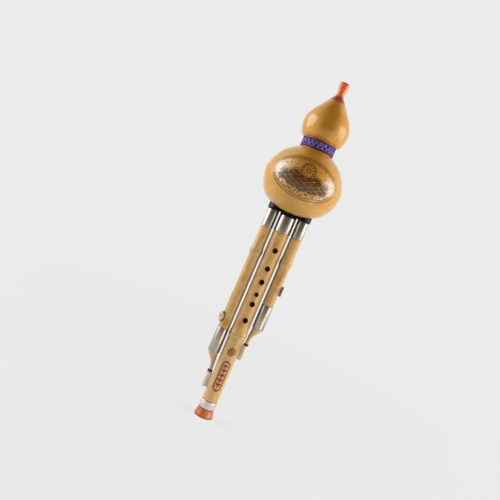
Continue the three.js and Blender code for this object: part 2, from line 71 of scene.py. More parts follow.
fit_gap = 0.3 * mm
gourd_foot = foot_of("gourd_shell")
gourd_top = top_of("gourd_shell")
lower_lobe_radius = radius_of("gourd_shell")
band_foot = foot_of("waist_band")
band_top = top_of("waist_band")
band_radius = radius_of("waist_band")
plate_foot = foot_of("base_plate")
plate_top = top_of("base_plate")
pipe_top = foot_of("main_upper_ferrule")
bell_ferrule_foot = foot_of("bell_ferrule")
bell_ferrule_top = top_of("bell_ferrule")
drone_spacing = middle_of("short_drone_pipe").x


# Camera

# It looks straight along +Y, so the pipes keep their width, and is rolled until they lean to the right.
# The middle of the picture lies a little lower on the pipes than the camera stands.
camera_place = Vector((-0.0088, -0.672, 0.2194))
picture_middle = Vector((-0.0247, 0, 0.1911))
camera_roll = math.radians(23.2)
camera_lens = 43.2
sensor_width = 36


def set_camera():
    bpy.ops.object.camera_add(location=camera_place)
    camera = bpy.context.object
    camera.name = "studio_camera"
    camera.data.lens = camera_lens
    camera.data.sensor_width = sensor_width
    camera.data.clip_start = 10 * mm
    looking = Vector((0, 1, 0)).to_track_quat("-Z", "Y") @ Quaternion((0, 0, 1), camera_roll)
    camera.rotation_mode = "QUATERNION"
    camera.rotation_quaternion = looking
    away = looking.inverted() @ (picture_middle - camera_place)
    picture_width = -away.z * sensor_width / camera_lens
    camera.data.shift_x = away.x / picture_width
    camera.data.shift_y = away.y / picture_width
    bpy.context.scene.camera = camera


# Wiring of shader nodes

class Wire:
    """What a shader node gives out. A sum written with wires becomes math nodes."""

    def __init__(self, socket):
        self.socket = socket
        self.tree = socket.id_data

    def __add__(self, other):
        return calc("ADD", self, other)

    def __radd__(self, other):
        return calc("ADD", other, self)

    def __sub__(self, other):
        return calc("SUBTRACT", self, other)

    def __rsub__(self, other):
        return calc("SUBTRACT", other, self)

    def __mul__(self, other):
        return calc("MULTIPLY", self, other)

    def __rmul__(self, other):
        return calc("MULTIPLY", other, self)

    def __truediv__(self, other):
        return calc("DIVIDE", self, other)

    def __rtruediv__(self, other):
        return calc("DIVIDE", other, self)

    def __abs__(self):
        return calc("ABSOLUTE", self)


def plug(socket, value):
    """Join a wire to an input, or set the input to a plain value."""
    if isinstance(value, Wire):
        value.tree.links.new(value.socket, socket)
    else:
        socket.default_value = value


def add_node(tree, kind, inputs=None, **settings):
    """A node, its inputs given by name or number."""
    made = tree.nodes.new(kind)
    for name, value in settings.items():
        setattr(made, name, value)
    for name, value in (inputs or {}).items():
        plug(made.inputs[name], value)
    return made


def wire_from(tree, kind, inputs=None, output=0, **settings):
    """What a new node gives out, at one of its outputs by name or number."""
    return Wire(add_node(tree, kind, inputs, **settings).outputs[output])


def wire_through(kind, inputs, output=0, **settings):
    """The same, for a node that joins the tree of the first wire among its inputs."""
    tree = next(value.tree for value in inputs.values() if isinstance(value, Wire))
    return wire_from(tree, kind, inputs, output, **settings)


def calc(operation, *values):
    return wire_through("ShaderNodeMath", dict(enumerate(values)), operation=operation)


def vector_calc(operation, *values):
    return wire_through("ShaderNodeVectorMath", dict(enumerate(values)), operation=operation)


def ramp(value, from_low, from_high, to_low=0.0, to_high=1.0, smooth=False):
    """The value carried over from one range to another, and held at the second's ends."""
    inputs = dict(enumerate((value, from_low, from_high, to_low, to_high)))
    return wire_through("ShaderNodeMapRange", inputs, interpolation_type="SMOOTHSTEP" if smooth else "LINEAR")


def tint(amount, under, over):
    """A colour laid over another one by an amount from 0 to 1."""
    return wire_through("ShaderNodeMix", {0: amount, 6: under, 7: over}, 2, data_type="RGBA")


def layered(colour, *layers):
    """A colour with others laid over it in turn, each (amount, colour)."""
    for amount, over in layers:
        colour = tint(amount, colour, over)
    return colour


def split(place):
    """The X, Y and Z of a place."""
    return [Wire(socket) for socket in add_node(place.tree, "ShaderNodeSeparateXYZ", {0: place}).outputs]


def joined(x, y, z=0.0):
    return wire_through("ShaderNodeCombineXYZ", {0: x, 1: y, 2: z})


def object_place(tree, centre=(0, 0, 0), scale=(1, 1, 1), turn_degrees=0):
    """Object coordinates, counted from a centre on the piece and turned back about Z."""
    return wire_through("ShaderNodeMapping", {
        "Vector": wire_from(tree, "ShaderNodeTexCoord", output="Object"),
        "Location": [-c * s for c, s in zip(centre, scale)],
        "Scale": scale,
        "Rotation": (0, 0, -math.radians(turn_degrees)),
    })


def noise(place, scale, detail=3.0, roughness=0.5, distortion=0.0):
    return wire_through("ShaderNodeTexNoise", {
        "Vector": place, "Scale": scale, "Detail": detail, "Roughness": roughness, "Distortion": distortion,
    }, "Fac")


def srgb(red, green, blue):
    """A colour as it looks on a screen, from 0 to 255, for a shader's socket."""
    def linear(level):
        share = level / 255
        return share / 12.92 if share <= 0.04045 else ((share + 0.055) / 1.055) ** 2.4
    return (linear(red), linear(green), linear(blue), 1)


def start_group(name, **sizes):
    """A new node group's tree, and a wire for each of its inputs: a place, and sizes with their defaults."""
    tree = bpy.data.node_groups.new(name, "ShaderNodeTree")
    tree.interface.new_socket("Place", in_out="INPUT", socket_type="NodeSocketVector")
    for label, size in sizes.items():
        socket = tree.interface.new_socket(label, in_out="INPUT", socket_type="NodeSocketFloat")
        socket.default_value = size
    taken = tree.nodes.new("NodeGroupInput").outputs
    return tree, *(Wire(taken[label]) for label in ("Place", *sizes))


def finish_group(tree, **results):
    """Give the group its named outputs."""
    for label in results:
        tree.interface.new_socket(label, in_out="OUTPUT", socket_type="NodeSocketFloat")
    add_node(tree, "NodeGroupOutput", results)
    return tree


def use_group(group, place, **sizes):
    """The group placed in the tree of the place's wire: a wire for each of its outputs, in their order."""
    made = add_node(place.tree, "ShaderNodeGroup", {"Place": place, **sizes}, node_tree=group)
    return [Wire(socket) for socket in made.outputs]


# Shared effects

def make_fibre_grain():
    """Fine streaks along Z, with broader soft ones under them."""
    tree, place, width, stretch = start_group("fibre_grain", Width=0.5 * mm, Stretch=30.0)
    x, y, z = split(place)
    drawn = joined(x, y, z / stretch)
    density = 1 / width
    return finish_group(tree, Fine=noise(drawn, density, 4, 0.6), Broad=noise(drawn, density * 0.16, 3, 0.55))


def make_mottling():
    """Soft patches of one size, and sparse small flecks."""
    tree, place, patch_size, fleck_size = start_group("mottling", Size=8 * mm, Fleck=0.8 * mm)
    patch = noise(place, 1 / patch_size, 4, 0.6, 0.6)
    fleck = noise(place, 1 / fleck_size, 2, 0.5)
    return finish_group(tree, Patches=ramp(patch, 0.3, 0.7, smooth=True),
                        Flecks=ramp(fleck, 0.66, 0.74, smooth=True))


def make_handling_marks():
    """Fine hairline scratches in two directions, and dull patches left by fingers."""
    tree, place, hairline, smudge_size = start_group("handling_marks", Hairline=0.12 * mm, Smudge=9 * mm)
    density = 1 / hairline
    sets = []
    for squeeze in ((1, 1, 0.03), (0.04, 0.9, 1)):
        hair = noise(vector_calc("MULTIPLY", place, squeeze), density, 2, 0.5)
        sets.append(ramp(hair, 0.62, 0.72))
    smudge = noise(place, 1 / smudge_size, 3, 0.6)
    return finish_group(tree, Scratches=most_of(*sets), Smudges=ramp(smudge, 0.42, 0.68, smooth=True))


def make_painted_pipe_shade():
    """Painted shade on the flanks where a drone and the melody pipe face each other, and a painted dark band
    just under the base plate that stands for the plate's reflection and shade, deepest at the middle.
    """
    tree, place = start_group("painted_pipe_shade")
    x, _, z = split(place)
    gap_middle = (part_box("short_drone_pipe")[0].x + radius_of("main_pipe")) / 2
    aside = abs(x)
    # painted shade in the gap between a drone and the melody pipe
    near = ramp(abs(aside - gap_middle), 2.4 * mm, 1.2 * mm, smooth=True)
    foot = ramp(x, -1 * mm, 1 * mm, foot_of("long_drone_lower_ferrule"), foot_of("short_drone_lower_ferrule"))
    high = ramp(z - foot, -2 * mm, 5 * mm)
    # painted dark band under the base plate, deeper at the middle
    plate_shade_depth = ramp(aside, 6 * mm, 12 * mm, 2.1 * mm, 0.8 * mm)
    under_plate = plate_foot - z
    plate_shade = ramp(plate_shade_depth - under_plate, -0.15 * mm, 0.15 * mm)
    return finish_group(tree, Soot=near * high, Wax=plate_shade)


# Drawing with nodes, for the burnt ornaments. Places are in millimetres here.

def stripe(value, centre, half, soft):
    """1 where the value lies within half of the centre, with soft edges."""
    return ramp(abs(value - centre), half + soft, half - soft)


def below(value, limit, soft):
    """1 where the value lies below the limit, with a soft edge."""
    return ramp(value, limit + soft, limit - soft)


def length_of(a, b):
    return calc("SQRT", a * a + b * b)


def most_of(total, *masks):
    for mask in masks:
        total = calc("MAXIMUM", total, mask)
    return total


def on_front(y):
    return calc("LESS_THAN", y, 0.0)


def wrapped(value, pitch, offset=0.0):
    """The value counted from the nearest multiple of the pitch."""
    return calc("FLOORED_MODULO", value + (pitch / 2 - offset), pitch) - pitch / 2


def wave_scales(x, z, radius):
    """Lines of overlapping scales: concentric arcs, each row laid over the one above it."""
    rise = radius / 2
    row = calc("FLOOR", z / rise)
    drawn = 0.0
    for step in (1, 0, -1):
        this_row = row + step
        odd = calc("FLOORED_MODULO", this_row, 2.0)
        side = wrapped(x + odd * radius, 2 * radius)
        out = length_of(side, z - this_row * rise)
        rims = most_of(
            stripe(out, radius * 0.93, radius * 0.045, 0.06),
            stripe(out, radius * 0.58, radius * 0.035, 0.06),
            below(out, radius * 0.17, 0.06),
        )
        covers = below(out, radius, 0.01)
        drawn = rims * covers + drawn * (1 - covers)
    return drawn


def rosette(x, z, petals, inner, outer):
    """A round flower: how far out a point is, as a share of the petal's edge and in length, and its angle."""
    out = length_of(x, z)
    angle = calc("ARCTAN2", z, x)
    lobe = abs(calc("COSINE", angle * (petals / 2)))
    return out / (lobe * (outer - inner) + inner), out, angle


engraving_rise = 39.1 * mm  # from the gourd's foot to the engraving's middle
engraving_half_width = 36.4
engraving_half_height = 22.4
engraving_tilt = math.radians(2.5)
medallion_height = 9.0
cloud_width = 13.0
cloud_radius = 6.5
bank_half_width = 27.0
scale_radius = 5.2
blossom_spacing = 6.2


def past_ellipse(across, up, half_width, half_height):
    """How far a point lies outside an ellipse, in millimetres, from its place as shares of the half sizes."""
    out = length_of(across, up)
    slope = length_of(across / half_width, up / half_height)
    return (out - 1.0) * (out / calc("MAXIMUM", slope, 0.000001))


def flower_medallion(x, z):
    """A flower in a scalloped ring, ten golden petals on a burnt ground: its outline and its burn."""
    share, far, turn = rosette(x, z, 20, 7.9, 8.5)
    ground = below(share, 1.0, 0.02)
    fan = abs(calc("COSINE", turn * 5.0))
    petals = stripe(far, 4.4, 1.9, 0.15) * ramp(fan, 0.35, 0.55)
    rim = stripe(share, 0.86, 0.035, 0.02)
    heart = below(far, 1.8, 0.1) * (1 - below(far, 0.8, 0.1))
    return ground, ground * (1 - most_of(petals, rim, heart))


def small_blossoms(flat_place, spacing):
    """Five-petalled blossoms strewn unevenly, one to a cell."""
    middle = wire_through("ShaderNodeTexVoronoi", {
        "Vector": flat_place, "Scale": 1 / spacing, "Randomness": 0.7,
    }, "Position", voronoi_dimensions="2D")
    local = vector_calc("SUBTRACT", flat_place, vector_calc("MULTIPLY", middle, (spacing, spacing, spacing)))
    x, z, _ = split(local)
    share, far, _ = rosette(x, z, 5, 0.17 * spacing, 0.34 * spacing)
    return most_of(stripe(share, 0.85, 0.2, 0.08), below(far, 0.08 * spacing, 0.05 * spacing))


def bank_of_waves(x, z):
    """A dark bank with a cloud-like crest and keel, filled with golden wave scales: outline, burn, crest."""
    cell = wrapped(x, cloud_width)
    bulge = calc("SQRT", most_of(cloud_radius ** 2 - cell * cell, 0.0))
    swell = calc("COSINE", x * 0.085) * 3.2
    crest = bulge * 0.7 + (swell - 0.6)
    keel = bulge * -0.4 - (swell + 8.8)
    reach = below(abs(x), bank_half_width, 1.5)
    under_crest = z - crest
    bank = reach * below(under_crest, 0.0, 0.2) * ramp(z - keel, -0.2, 0.2)
    worn = ramp(noise(joined(x, z), 0.16, 2), 0.45, 0.62, 0.35, 0.8)
    scales = wave_scales(x, z, scale_radius) * worn
    crest_line = reach * stripe(under_crest, 1.2, 0.35, 0.15)
    return bank, bank * (1 - scales), crest_line


def make_oval_engraving():
    """A burnt oval: a hatched border round a flower medallion, a bank of wave scales and blossoms, and a
    painted sheen of cream specks at its left and right ends.
    """
    tree, place = start_group("oval_engraving")
    level_x, y, level_z = split(place)
    lean, upright = math.sin(engraving_tilt), math.cos(engraving_tilt)
    x = level_x * upright - level_z * lean
    z = level_z * upright + level_x * lean
    across = x / engraving_half_width
    up = z / engraving_half_height
    past = past_ellipse(across, up, engraving_half_width, engraving_half_height)

    dashes = ramp(calc("COSINE", calc("ARCTAN2", up, across) * 64.0), -0.4, 0.6, 0, 0.6)
    hatches = stripe(past, -1.6, 0.7, 0.25) * dashes
    border = most_of(stripe(past, -0.4, 0.34, 0.14), hatches, stripe(past, -2.9, 0.28, 0.14))
    inside = below(past, -3.2, 0.1)

    medallion, medallion_burn = flower_medallion(x, z - medallion_height)
    bank, bank_burn, crest_line = bank_of_waves(x, z)
    flat_place = joined(x, z)
    speckle = noise(flat_place, 0.42, 3, 0.6)
    ends = ramp(abs(across - 0.04), 0.42, 0.7, smooth=True)
    low = ramp(z, 0.0, -11.0, smooth=True)
    dark_specks = ramp(speckle + (low - ends * 0.3) * 0.1, 0.58, 0.68, 0, 0.85)
    garden = most_of(small_blossoms(flat_place, blossom_spacing), dark_specks, crest_line)
    around = 1 - medallion
    drawn = (1 - bank) * around * garden + (around * bank_burn + medallion_burn)
    front = on_front(y)
    burn = front * most_of(border, inside * drawn)
    # Painted sheen: cream specks at the oval's left and right ends, where the lamps' highlights fall.
    painted_sheen = front * inside * ends * ramp(speckle, 0.66, 0.4, 0.3, 1.0)
    panel = front * below(past, 0.0, 0.2)
    return finish_group(tree, Burn=calc("MINIMUM", burn, 1.0), Gild=painted_sheen, Panel=panel)


hole_turn_degrees = 10  # how far the melody pipe stands turned, its front towards the short drone
round_mark_height = 79.7 * mm
cartouche_middle = 50.6 * mm
cartouche_half_height = 18.1
cartouche_half_width = 5.0
ornament_radius = 9.1  # the pipe's radius where the ornament wraps round it
leaf_spacing = 5.6
leaf_lean = math.radians(48)


def make_pipe_ornament():
    """Burnt on the melody pipe: a round flower mark above a long frame that holds a spray of leaves."""
    tree, place = start_group("pipe_ornament")
    x, y, z = split(place)
    across = calc("ARCTAN2", x, y * -1.0) * ornament_radius
    side = abs(across)

    out = length_of(side, most_of(abs(z) - (cartouche_half_height - cartouche_half_width), 0.0))
    scallop = calc("COSINE", z * 1.5) * 0.25
    frame_lines = most_of(stripe(out + scallop, 4.3, 0.7, 0.12), stripe(out, 3.1, 0.17, 0.1))
    field = below(out, 3.2, 0.15)

    stem = below(side, 0.36, 0.1) * below(abs(z), 13.5, 0.3)
    along = wrapped(z, leaf_spacing)
    lean_x, lean_z = math.cos(leaf_lean), math.sin(leaf_lean)
    lengthways = (side * lean_x + along * lean_z - 1.7) / 1.9
    sideways = (along * lean_x - side * lean_z) / 1.05
    leaves = below(length_of(lengthways, sideways), 1.0, 0.15) * below(abs(z), 13.4, 0.2)

    share, far, _ = rosette(across, z - (round_mark_height - cartouche_middle) / mm, 6, 1.0, 2.6)
    mark = most_of(
        stripe(far, 4.0, 0.62, 0.12), stripe(far, 2.95, 0.2, 0.1),
        stripe(share, 0.75, 0.36, 0.08), below(far, 0.5, 0.1),
    )
    burn = most_of(frame_lines, field * most_of(stem, leaves), mark)
    wash = most_of(field, below(share, 0.7, 0.1))
    front = on_front(y)
    return finish_group(tree, Burn=front * burn, Wash=front * wash)


def scorched_rims(place, holes):
    """Brown rings where the hot drill left the round holes, each hole (radius, height) on the front."""
    x, y, z = split(place)
    rings = [ramp(length_of(x, z - height), radius + 0.8 * mm, radius + 0.3 * mm) for radius, height in holes]
    return on_front(y) * most_of(*rings)


fibre_grain = make_fibre_grain()
mottling = make_mottling()
handling_marks = make_handling_marks()
painted_pipe_shade = make_painted_pipe_shade()


# Materials

def start_material(name):
    material = bpy.data.materials.new(name)
    material.use_nodes = True
    material.node_tree.nodes.clear()
    return material, material.node_tree


def finish_surface(material, colour, roughness, height=None, depth=0.1 * mm, **sockets):
    """The shader itself. Its other sockets are named in small letters with underscores."""
    tree = material.node_tree
    shader = add_node(tree, "ShaderNodeBsdfPrincipled", {"Base Color": colour, "Roughness": roughness})
    for name, value in sockets.items():
        plug(shader.inputs[name.replace("_", " ").title().replace("Ior", "IOR")], value)
    if height is not None:
        bump = wire_from(tree, "ShaderNodeBump", {"Height": height, "Distance": depth, "Strength": 1.0})
        plug(shader.inputs["Normal"], bump)
    add_node(tree, "ShaderNodeOutputMaterial", {"Surface": Wire(shader.outputs[0])})
    return material


in_millimetres = (1 / mm, 1 / mm, 1 / mm)
gourd_colour = srgb(222, 159, 52)
gourd_deep = srgb(204, 130, 28)
gourd_pale = srgb(238, 186, 98)
# painted shade for the gourd's darker front
painted_shade_brown = srgb(176, 112, 26)
burnt_colour = srgb(62, 20, 8)
# cream for the painted sheen on the engraving's ends
painted_sheen_colour = srgb(250, 232, 200)


def painted_front_shade(place):
    """Painted shade down the front, from the stem to the middle of the lower lobe, a little lighter just
    above the band: the darker front of a gourd lit from its sides.
    """
    x, y, z = split(place)
    aside = abs(x) / calc("MAXIMUM", length_of(x, y), 1 * mm)
    uneven = ramp(noise(place, 1 / (22 * mm), 3, 0.55), 0.3, 0.7, -0.12, 0.12)
    facing = ramp(aside + uneven, 0.58, 0.1, smooth=True)
    upward = ramp(z, gourd_foot + 24 * mm, gourd_foot + 66 * mm, smooth=True)
    over_band = stripe(z, band_top + 6 * mm, 5 * mm, 4 * mm)
    return facing * upward * ramp(over_band, 0, 1, 1, 0.55) * on_front(y)


def make_lacquered_gourd():
    material, tree = start_material("lacquered_gourd")
    place = object_place(tree)
    patches, flecks = use_group(mottling, place, Size=17 * mm, Fleck=1.1 * mm)
    _, broad = use_group(fibre_grain, place, Width=1.6 * mm, Stretch=9.0)
    # Paler towards the foot: painted light on the underside of the lower lobe.
    painted_light_near_foot = ramp(split(place)[2], gourd_foot + 34 * mm, gourd_foot + 8 * mm, 0, 0.4, smooth=True)
    drawing_place = object_place(tree, (0, 0, gourd_foot + engraving_rise), in_millimetres)
    burn, painted_sheen, panel = use_group(make_oval_engraving(), drawing_place)
    skin = layered(
        gourd_colour,
        (patches * 0.55, gourd_deep),
        (ramp(broad, 0.45, 0.7, 0, 0.4), gourd_pale),
        (painted_light_near_foot, gourd_pale),
        # painted shade down the front
        (painted_front_shade(place) * 0.85, painted_shade_brown),
        (flecks * 0.35, gourd_deep),
        # painted sheen at the engraving's ends
        (painted_sheen * 0.75, painted_sheen_colour),
        (burn * 0.97, burnt_colour),
    )
    roughness = ramp(patches, 0, 1, 0.3, 0.4) + burn * 0.2
    return finish_surface(material, skin, roughness, broad * 0.25 - burn,
                          coat_weight=ramp(panel, 0, 1, 0.85, 1.0), coat_roughness=0.2, coat_ior=1.55,
                          specular_ior_level=0.1)


bamboo_colour = srgb(216, 169, 98)
bamboo_ochre = srgb(204, 138, 62)
bamboo_green = srgb(198, 168, 80)
bamboo_pale = srgb(240, 205, 150)
# painted shade for the gaps between the pipes
bamboo_gap_shade = srgb(80, 48, 24)
node_line = srgb(112, 66, 30)
ornament_brown = srgb(116, 42, 18)
ornament_salmon = srgb(238, 160, 110)


def make_bamboo(name, node_height, shift, node_blur, node_darkness, ornament=None, holes=()):
    """Lacquered bamboo with its own stretch of grain and drawn-out patches and the line of its node, paler
    towards the foot as painted light, with painted shade on the flanks that face the other pipes.
    """
    material, tree = start_material(name)
    place = object_place(tree, shift)
    fine, broad = use_group(fibre_grain, place, Width=0.55 * mm, Stretch=34.0)
    patches, flecks = use_group(mottling, place, Size=9 * mm, Fleck=0.7 * mm)
    ochre_patches = noise(object_place(tree, shift, (1, 1, 0.45)), 1 / (8 * mm), 3, 0.5)
    here = object_place(tree)
    height_here = split(here)[2]
    collar = stripe(height_here, node_height, 2.6 * mm, 1.6 * mm)
    groove = stripe(height_here, node_height, node_blur, node_blur)
    gap_shade, _ = use_group(painted_pipe_shade, here)
    skin = layered(
        bamboo_colour,
        (ramp(ochre_patches, 0.5, 0.68, smooth=True), bamboo_ochre),
        (ramp(ochre_patches, 0.46, 0.32, 0, 0.6, smooth=True), bamboo_green),
        (ramp(patches, 0.5, 1.0, 0, 0.4), bamboo_pale),
        (ramp(broad, 0.5, 0.72, 0, 0.5), bamboo_pale),
        (ramp(fine, 0.5, 0.75, 0, 0.45), bamboo_ochre),
        (flecks * 0.4, node_line),
        # paler towards the foot: painted light where the pipes no longer shade each other
        (ramp(height_here, 110 * mm, 40 * mm, 0, 0.4, smooth=True), bamboo_pale),
        (collar * 0.35, bamboo_pale),
        (groove * node_darkness * ramp(fine, 0.3, 0.65, 0.6, 1.4), node_line),
        # painted shade in the gaps between the pipes
        (gap_shade * 0.75, bamboo_gap_shade),
    )
    height = fine * 0.3
    if holes:
        scorch = scorched_rims(object_place(tree, turn_degrees=hole_turn_degrees), holes)
        skin = tint(scorch * 0.6, skin, node_line)
    if ornament:
        drawing_place = object_place(tree, (0, 0, cartouche_middle), in_millimetres, hole_turn_degrees)
        burn, wash = use_group(ornament, drawing_place)
        skin = layered(skin, (wash * 0.8, ornament_salmon), (burn * 0.95, ornament_brown))
        height -= burn
    return finish_surface(material, skin, ramp(broad, 0.3, 0.7, 0.36, 0.5), height, 0.08 * mm,
                          coat_weight=0.4, coat_roughness=0.2, specular_ior_level=0.25)


def make_raw_bamboo(name, dark, pale):
    """Unlacquered bamboo: the scorched walls of the holes, and the brown inside of the pipes."""
    material, tree = start_material(name)
    fine, _ = use_group(fibre_grain, object_place(tree), Width=0.4 * mm, Stretch=6.0)
    return finish_surface(material, tint(fine, dark, pale), ramp(fine, 0, 1, 0.6, 0.85), fine)


def make_amber_resin(name, deep, bright, dark, centre, dark_zones, gloss):
    """Cast resin with soft drawn clouds of a deep and a bright tone, darker in the bands of height given in
    dark_zones.
    """
    material, tree = start_material(name)
    place = object_place(tree, centre, (1, 1, 0.6))
    cloud = noise(place, 1 / (9 * mm), 2, 0.45, 0.8)
    veins = noise(place, 1 / (4 * mm), 2, 0.5, 1.5)
    here = object_place(tree)
    height_here = split(here)[2]
    colour = layered(
        deep,
        (ramp(cloud, 0.38, 0.62, smooth=True), bright),
        (ramp(veins, 0.6, 0.72, 0, 0.2), srgb(232, 146, 80)),
        # darker bands of height; on the mouthpiece's lip this is a painted dark reflection
        *((ramp(height_here, high, low, 0, 0.85, smooth=True), dark) for low, high in dark_zones),
    )
    _, smudges = use_group(handling_marks, here, Smudge=5 * mm)
    return finish_surface(material, colour, ramp(smudges, 0, 1, 0.26, 0.38),
                          coat_weight=gloss, coat_roughness=0.16, specular_ior_level=0.3)


def make_metal(name, dark, light, hairline, rough_low, rough_high):
    """Plated or drawn metal with hairlines and finger smudges, with painted shade where the tubes face each
    other and a painted dark band under the base plate.
    """
    material, tree = start_material(name)
    place = object_place(tree)
    scratches, smudges = use_group(handling_marks, place, Hairline=hairline, Smudge=7 * mm)
    gap_shade, plate_shade = use_group(painted_pipe_shade, place)
    # painted shade between the tubes, and a painted dark band under the base plate
    colour = layered(light, (smudges * 0.8, dark), (gap_shade * 0.8, srgb(62, 50, 44)),
                     (plate_shade * 0.95, srgb(24, 16, 14)))
    roughness = ramp(smudges, 0, 1, rough_low, rough_high) + scratches * 0.06
    return finish_surface(material, colour, roughness, scratches, 0.0006 * mm, metallic=1.0)


def make_black_resin():
    material, tree = start_material("black_resin")
    scratches, smudges = use_group(handling_marks, object_place(tree), Smudge=6 * mm)
    colour = tint(scratches, srgb(13, 9, 8), srgb(34, 27, 25))
    return finish_surface(material, colour, ramp(smudges, 0, 1, 0.16, 0.28), smudges, 0.004 * mm,
                          specular_ior_level=0.15)


def make_rubber():
    material, tree = start_material("seal_rubber")
    patches, flecks = use_group(mottling, object_place(tree), Size=2 * mm, Fleck=0.3 * mm)
    colour = tint(patches, srgb(22, 18, 18), srgb(44, 38, 36))
    return finish_surface(material, colour, ramp(patches, 0, 1, 0.45, 0.65), flecks, 0.02 * mm)


def make_gold_lacquer():
    """Turned wood under gold lacquer, with painted shade in reddish brown towards the narrow neck, on the
    side that faces the melody pipe.
    """
    material, tree = start_material("gold_lacquer")
    place = object_place(tree)
    fine, broad = use_group(fibre_grain, place, Width=0.5 * mm, Stretch=18.0)
    patches, flecks = use_group(mottling, place, Size=5 * mm, Fleck=0.5 * mm)
    side = abs(split(place)[0])
    # painted shade on the side that faces the melody pipe
    painted_inner_shade = ramp(side, drone_spacing + 1 * mm, drone_spacing - 5 * mm, 0, 0.75, smooth=True)
    colour = layered(
        srgb(234, 206, 152),
        (ramp(broad, 0.35, 0.65), srgb(216, 180, 122)),
        (painted_inner_shade, srgb(206, 160, 120)),
        (flecks * 0.5, srgb(110, 66, 34)),
    )
    return finish_surface(material, colour, ramp(patches, 0, 1, 0.3, 0.45), fine, 0.03 * mm,
                          coat_weight=0.3, coat_roughness=0.2)


def make_horn(name, axis_x, dark_at):
    """Polished horn: pale, with drawn brown streaks and a dark band at one distance from the drone's axis."""
    material, tree = start_material(name)
    place = object_place(tree, (axis_x, 0, 0))
    cloud = noise(place, 1 / (3 * mm), 3, 0.55, 1.0)
    x, y, _ = split(place)
    band = stripe(length_of(x, y), dark_at, 0.9 * mm, 0.4 * mm)
    _, flecks = use_group(mottling, place, Size=2 * mm, Fleck=0.4 * mm)
    colour = layered(
        srgb(226, 206, 168),
        (ramp(cloud, 0.42, 0.66, smooth=True), srgb(176, 128, 74)),
        (band * 0.95, srgb(72, 36, 14)),
        (flecks * 0.4, srgb(70, 40, 22)),
    )
    return finish_surface(material, colour, ramp(cloud, 0.3, 0.7, 0.25, 0.4), cloud, 0.03 * mm,
                          coat_weight=0.3, coat_roughness=0.1)


def make_ivory_plastic():
    """Satin cap plastic, a little yellowed, with faint finger marks."""
    material, tree = start_material("ivory_plastic")
    place = object_place(tree)
    patches, flecks = use_group(mottling, place, Size=5 * mm, Fleck=0.6 * mm)
    _, smudges = use_group(handling_marks, place, Smudge=4 * mm)
    colour = layered(srgb(248, 240, 228), (patches, srgb(238, 226, 208)), (flecks * 0.3, srgb(176, 156, 132)))
    return finish_surface(material, colour, ramp(smudges, 0, 1, 0.38, 0.52), smudges, 0.01 * mm,
                          specular_ior_level=0.4)


def make_cork():
    material, tree = start_material("cork")
    place = object_place(tree)
    grains = wire_through("ShaderNodeTexVoronoi", {"Vector": place, "Scale": 1 / (0.9 * mm)}, "Distance")
    patches, flecks = use_group(mottling, place, Size=2 * mm, Fleck=0.5 * mm)
    colour = layered(srgb(182, 136, 88), (ramp(grains, 0.2, 0.7), srgb(140, 94, 54)),
                     (flecks, srgb(78, 46, 26)))
    return finish_surface(material, colour, ramp(patches, 0, 1, 0.8, 0.95), grains, 0.08 * mm)


# The ribbon's weave, in millimetres
blossom_pitch = 5.4
blossom_row = 1.5  # from the ribbon's middle line to each row of blossoms
warp_pitch = 0.5
weft_pitch = 0.36


def make_woven_ribbon():
    """Jacquard ribbon: two rows of dark blossoms outlined in lilac, between dark maroon hems."""
    material, tree = start_material("woven_ribbon")
    cloth = wire_from(tree, "ShaderNodeUVMap", uv_map="weave")
    along, across, _ = split(cloth)
    from_middle = abs(across)
    half_width = ribbon_width / 2 / mm - 0.1

    uneven = add_node(tree, "ShaderNodeTexNoise", {"Vector": cloth, "Scale": 0.45, "Detail": 2.0}).outputs
    drift = vector_calc("SUBTRACT", Wire(uneven["Color"]), (0.5, 0.5, 0.5))
    drawn_x, drawn_y, _ = split(vector_calc("MULTIPLY_ADD", drift, (3.0, 3.0, 0), cloth))
    shade = motif = 0.0
    for row in (1, -1):
        side = wrapped(drawn_x, blossom_pitch, blossom_pitch / 4 * row)
        share, far, _ = rosette(side, drawn_y - row * blossom_row, 5, 1.25, 2.3)
        shade = most_of(shade, below(share, 0.9, 0.12))
        motif = most_of(motif, stripe(share, 1.2, 0.14, 0.06), below(far, 0.45, 0.12))
    motif *= 1 - shade * ramp(Wire(uneven["Fac"]), 0.42, 0.5)
    field = below(from_middle, half_width - 1.95, 0.12)
    shade *= field
    motif *= field
    hem = ramp(from_middle, half_width - 2.0, half_width - 1.8)

    warp = calc("SINE", along * (round_turn / warp_pitch))
    weft = calc("SINE", across * (round_turn / weft_pitch))
    threads = (warp * weft + 1.0) * 0.5
    tone = noise(cloth, 0.35, 3, 0.6)
    ground = tint(ramp(tone, 0.35, 0.65), srgb(60, 24, 142), srgb(94, 50, 184))
    figure = tint(ramp(tone, 0.4, 0.62), srgb(214, 178, 250), srgb(132, 84, 216))
    colour = layered(
        ground,
        (shade, srgb(20, 4, 62)),
        (motif, figure),
        (hem, srgb(78, 16, 42)),
        ((1 - threads) * 0.35, srgb(24, 10, 60)),
    )
    height = threads + most_of(motif, hem) * 1.2
    return finish_surface(material, colour, ramp(motif, 0, 1, 0.6, 0.35), height, 0.08 * mm,
                          sheen_weight=0.08, sheen_roughness=0.4, specular_ior_level=0.25)


# Modelling, by the operators a hand would use

seam_tolerance = 0.001 * mm
pipe_sides = 96


def deselect():
    if bpy.context.object and bpy.context.object.mode == "EDIT":
        bpy.ops.object.mode_set(mode="OBJECT")
    bpy.ops.object.select_all(action="DESELECT")


def take(piece):
    """Make this the one selected object."""
    deselect()
    piece.select_set(True)
    bpy.context.view_layer.objects.active = piece


def settle(piece, name):
    """Name the piece and put its place into its mesh."""
    piece.name = name
    piece.data.name = name
    take(piece)
    bpy.ops.object.transform_apply(location=True, rotation=True, scale=True)
    return piece


def edit_all():
    """Into edit mode, with the whole mesh selected."""
    bpy.ops.object.mode_set(mode="EDIT")
    bpy.ops.mesh.select_all(action="SELECT")


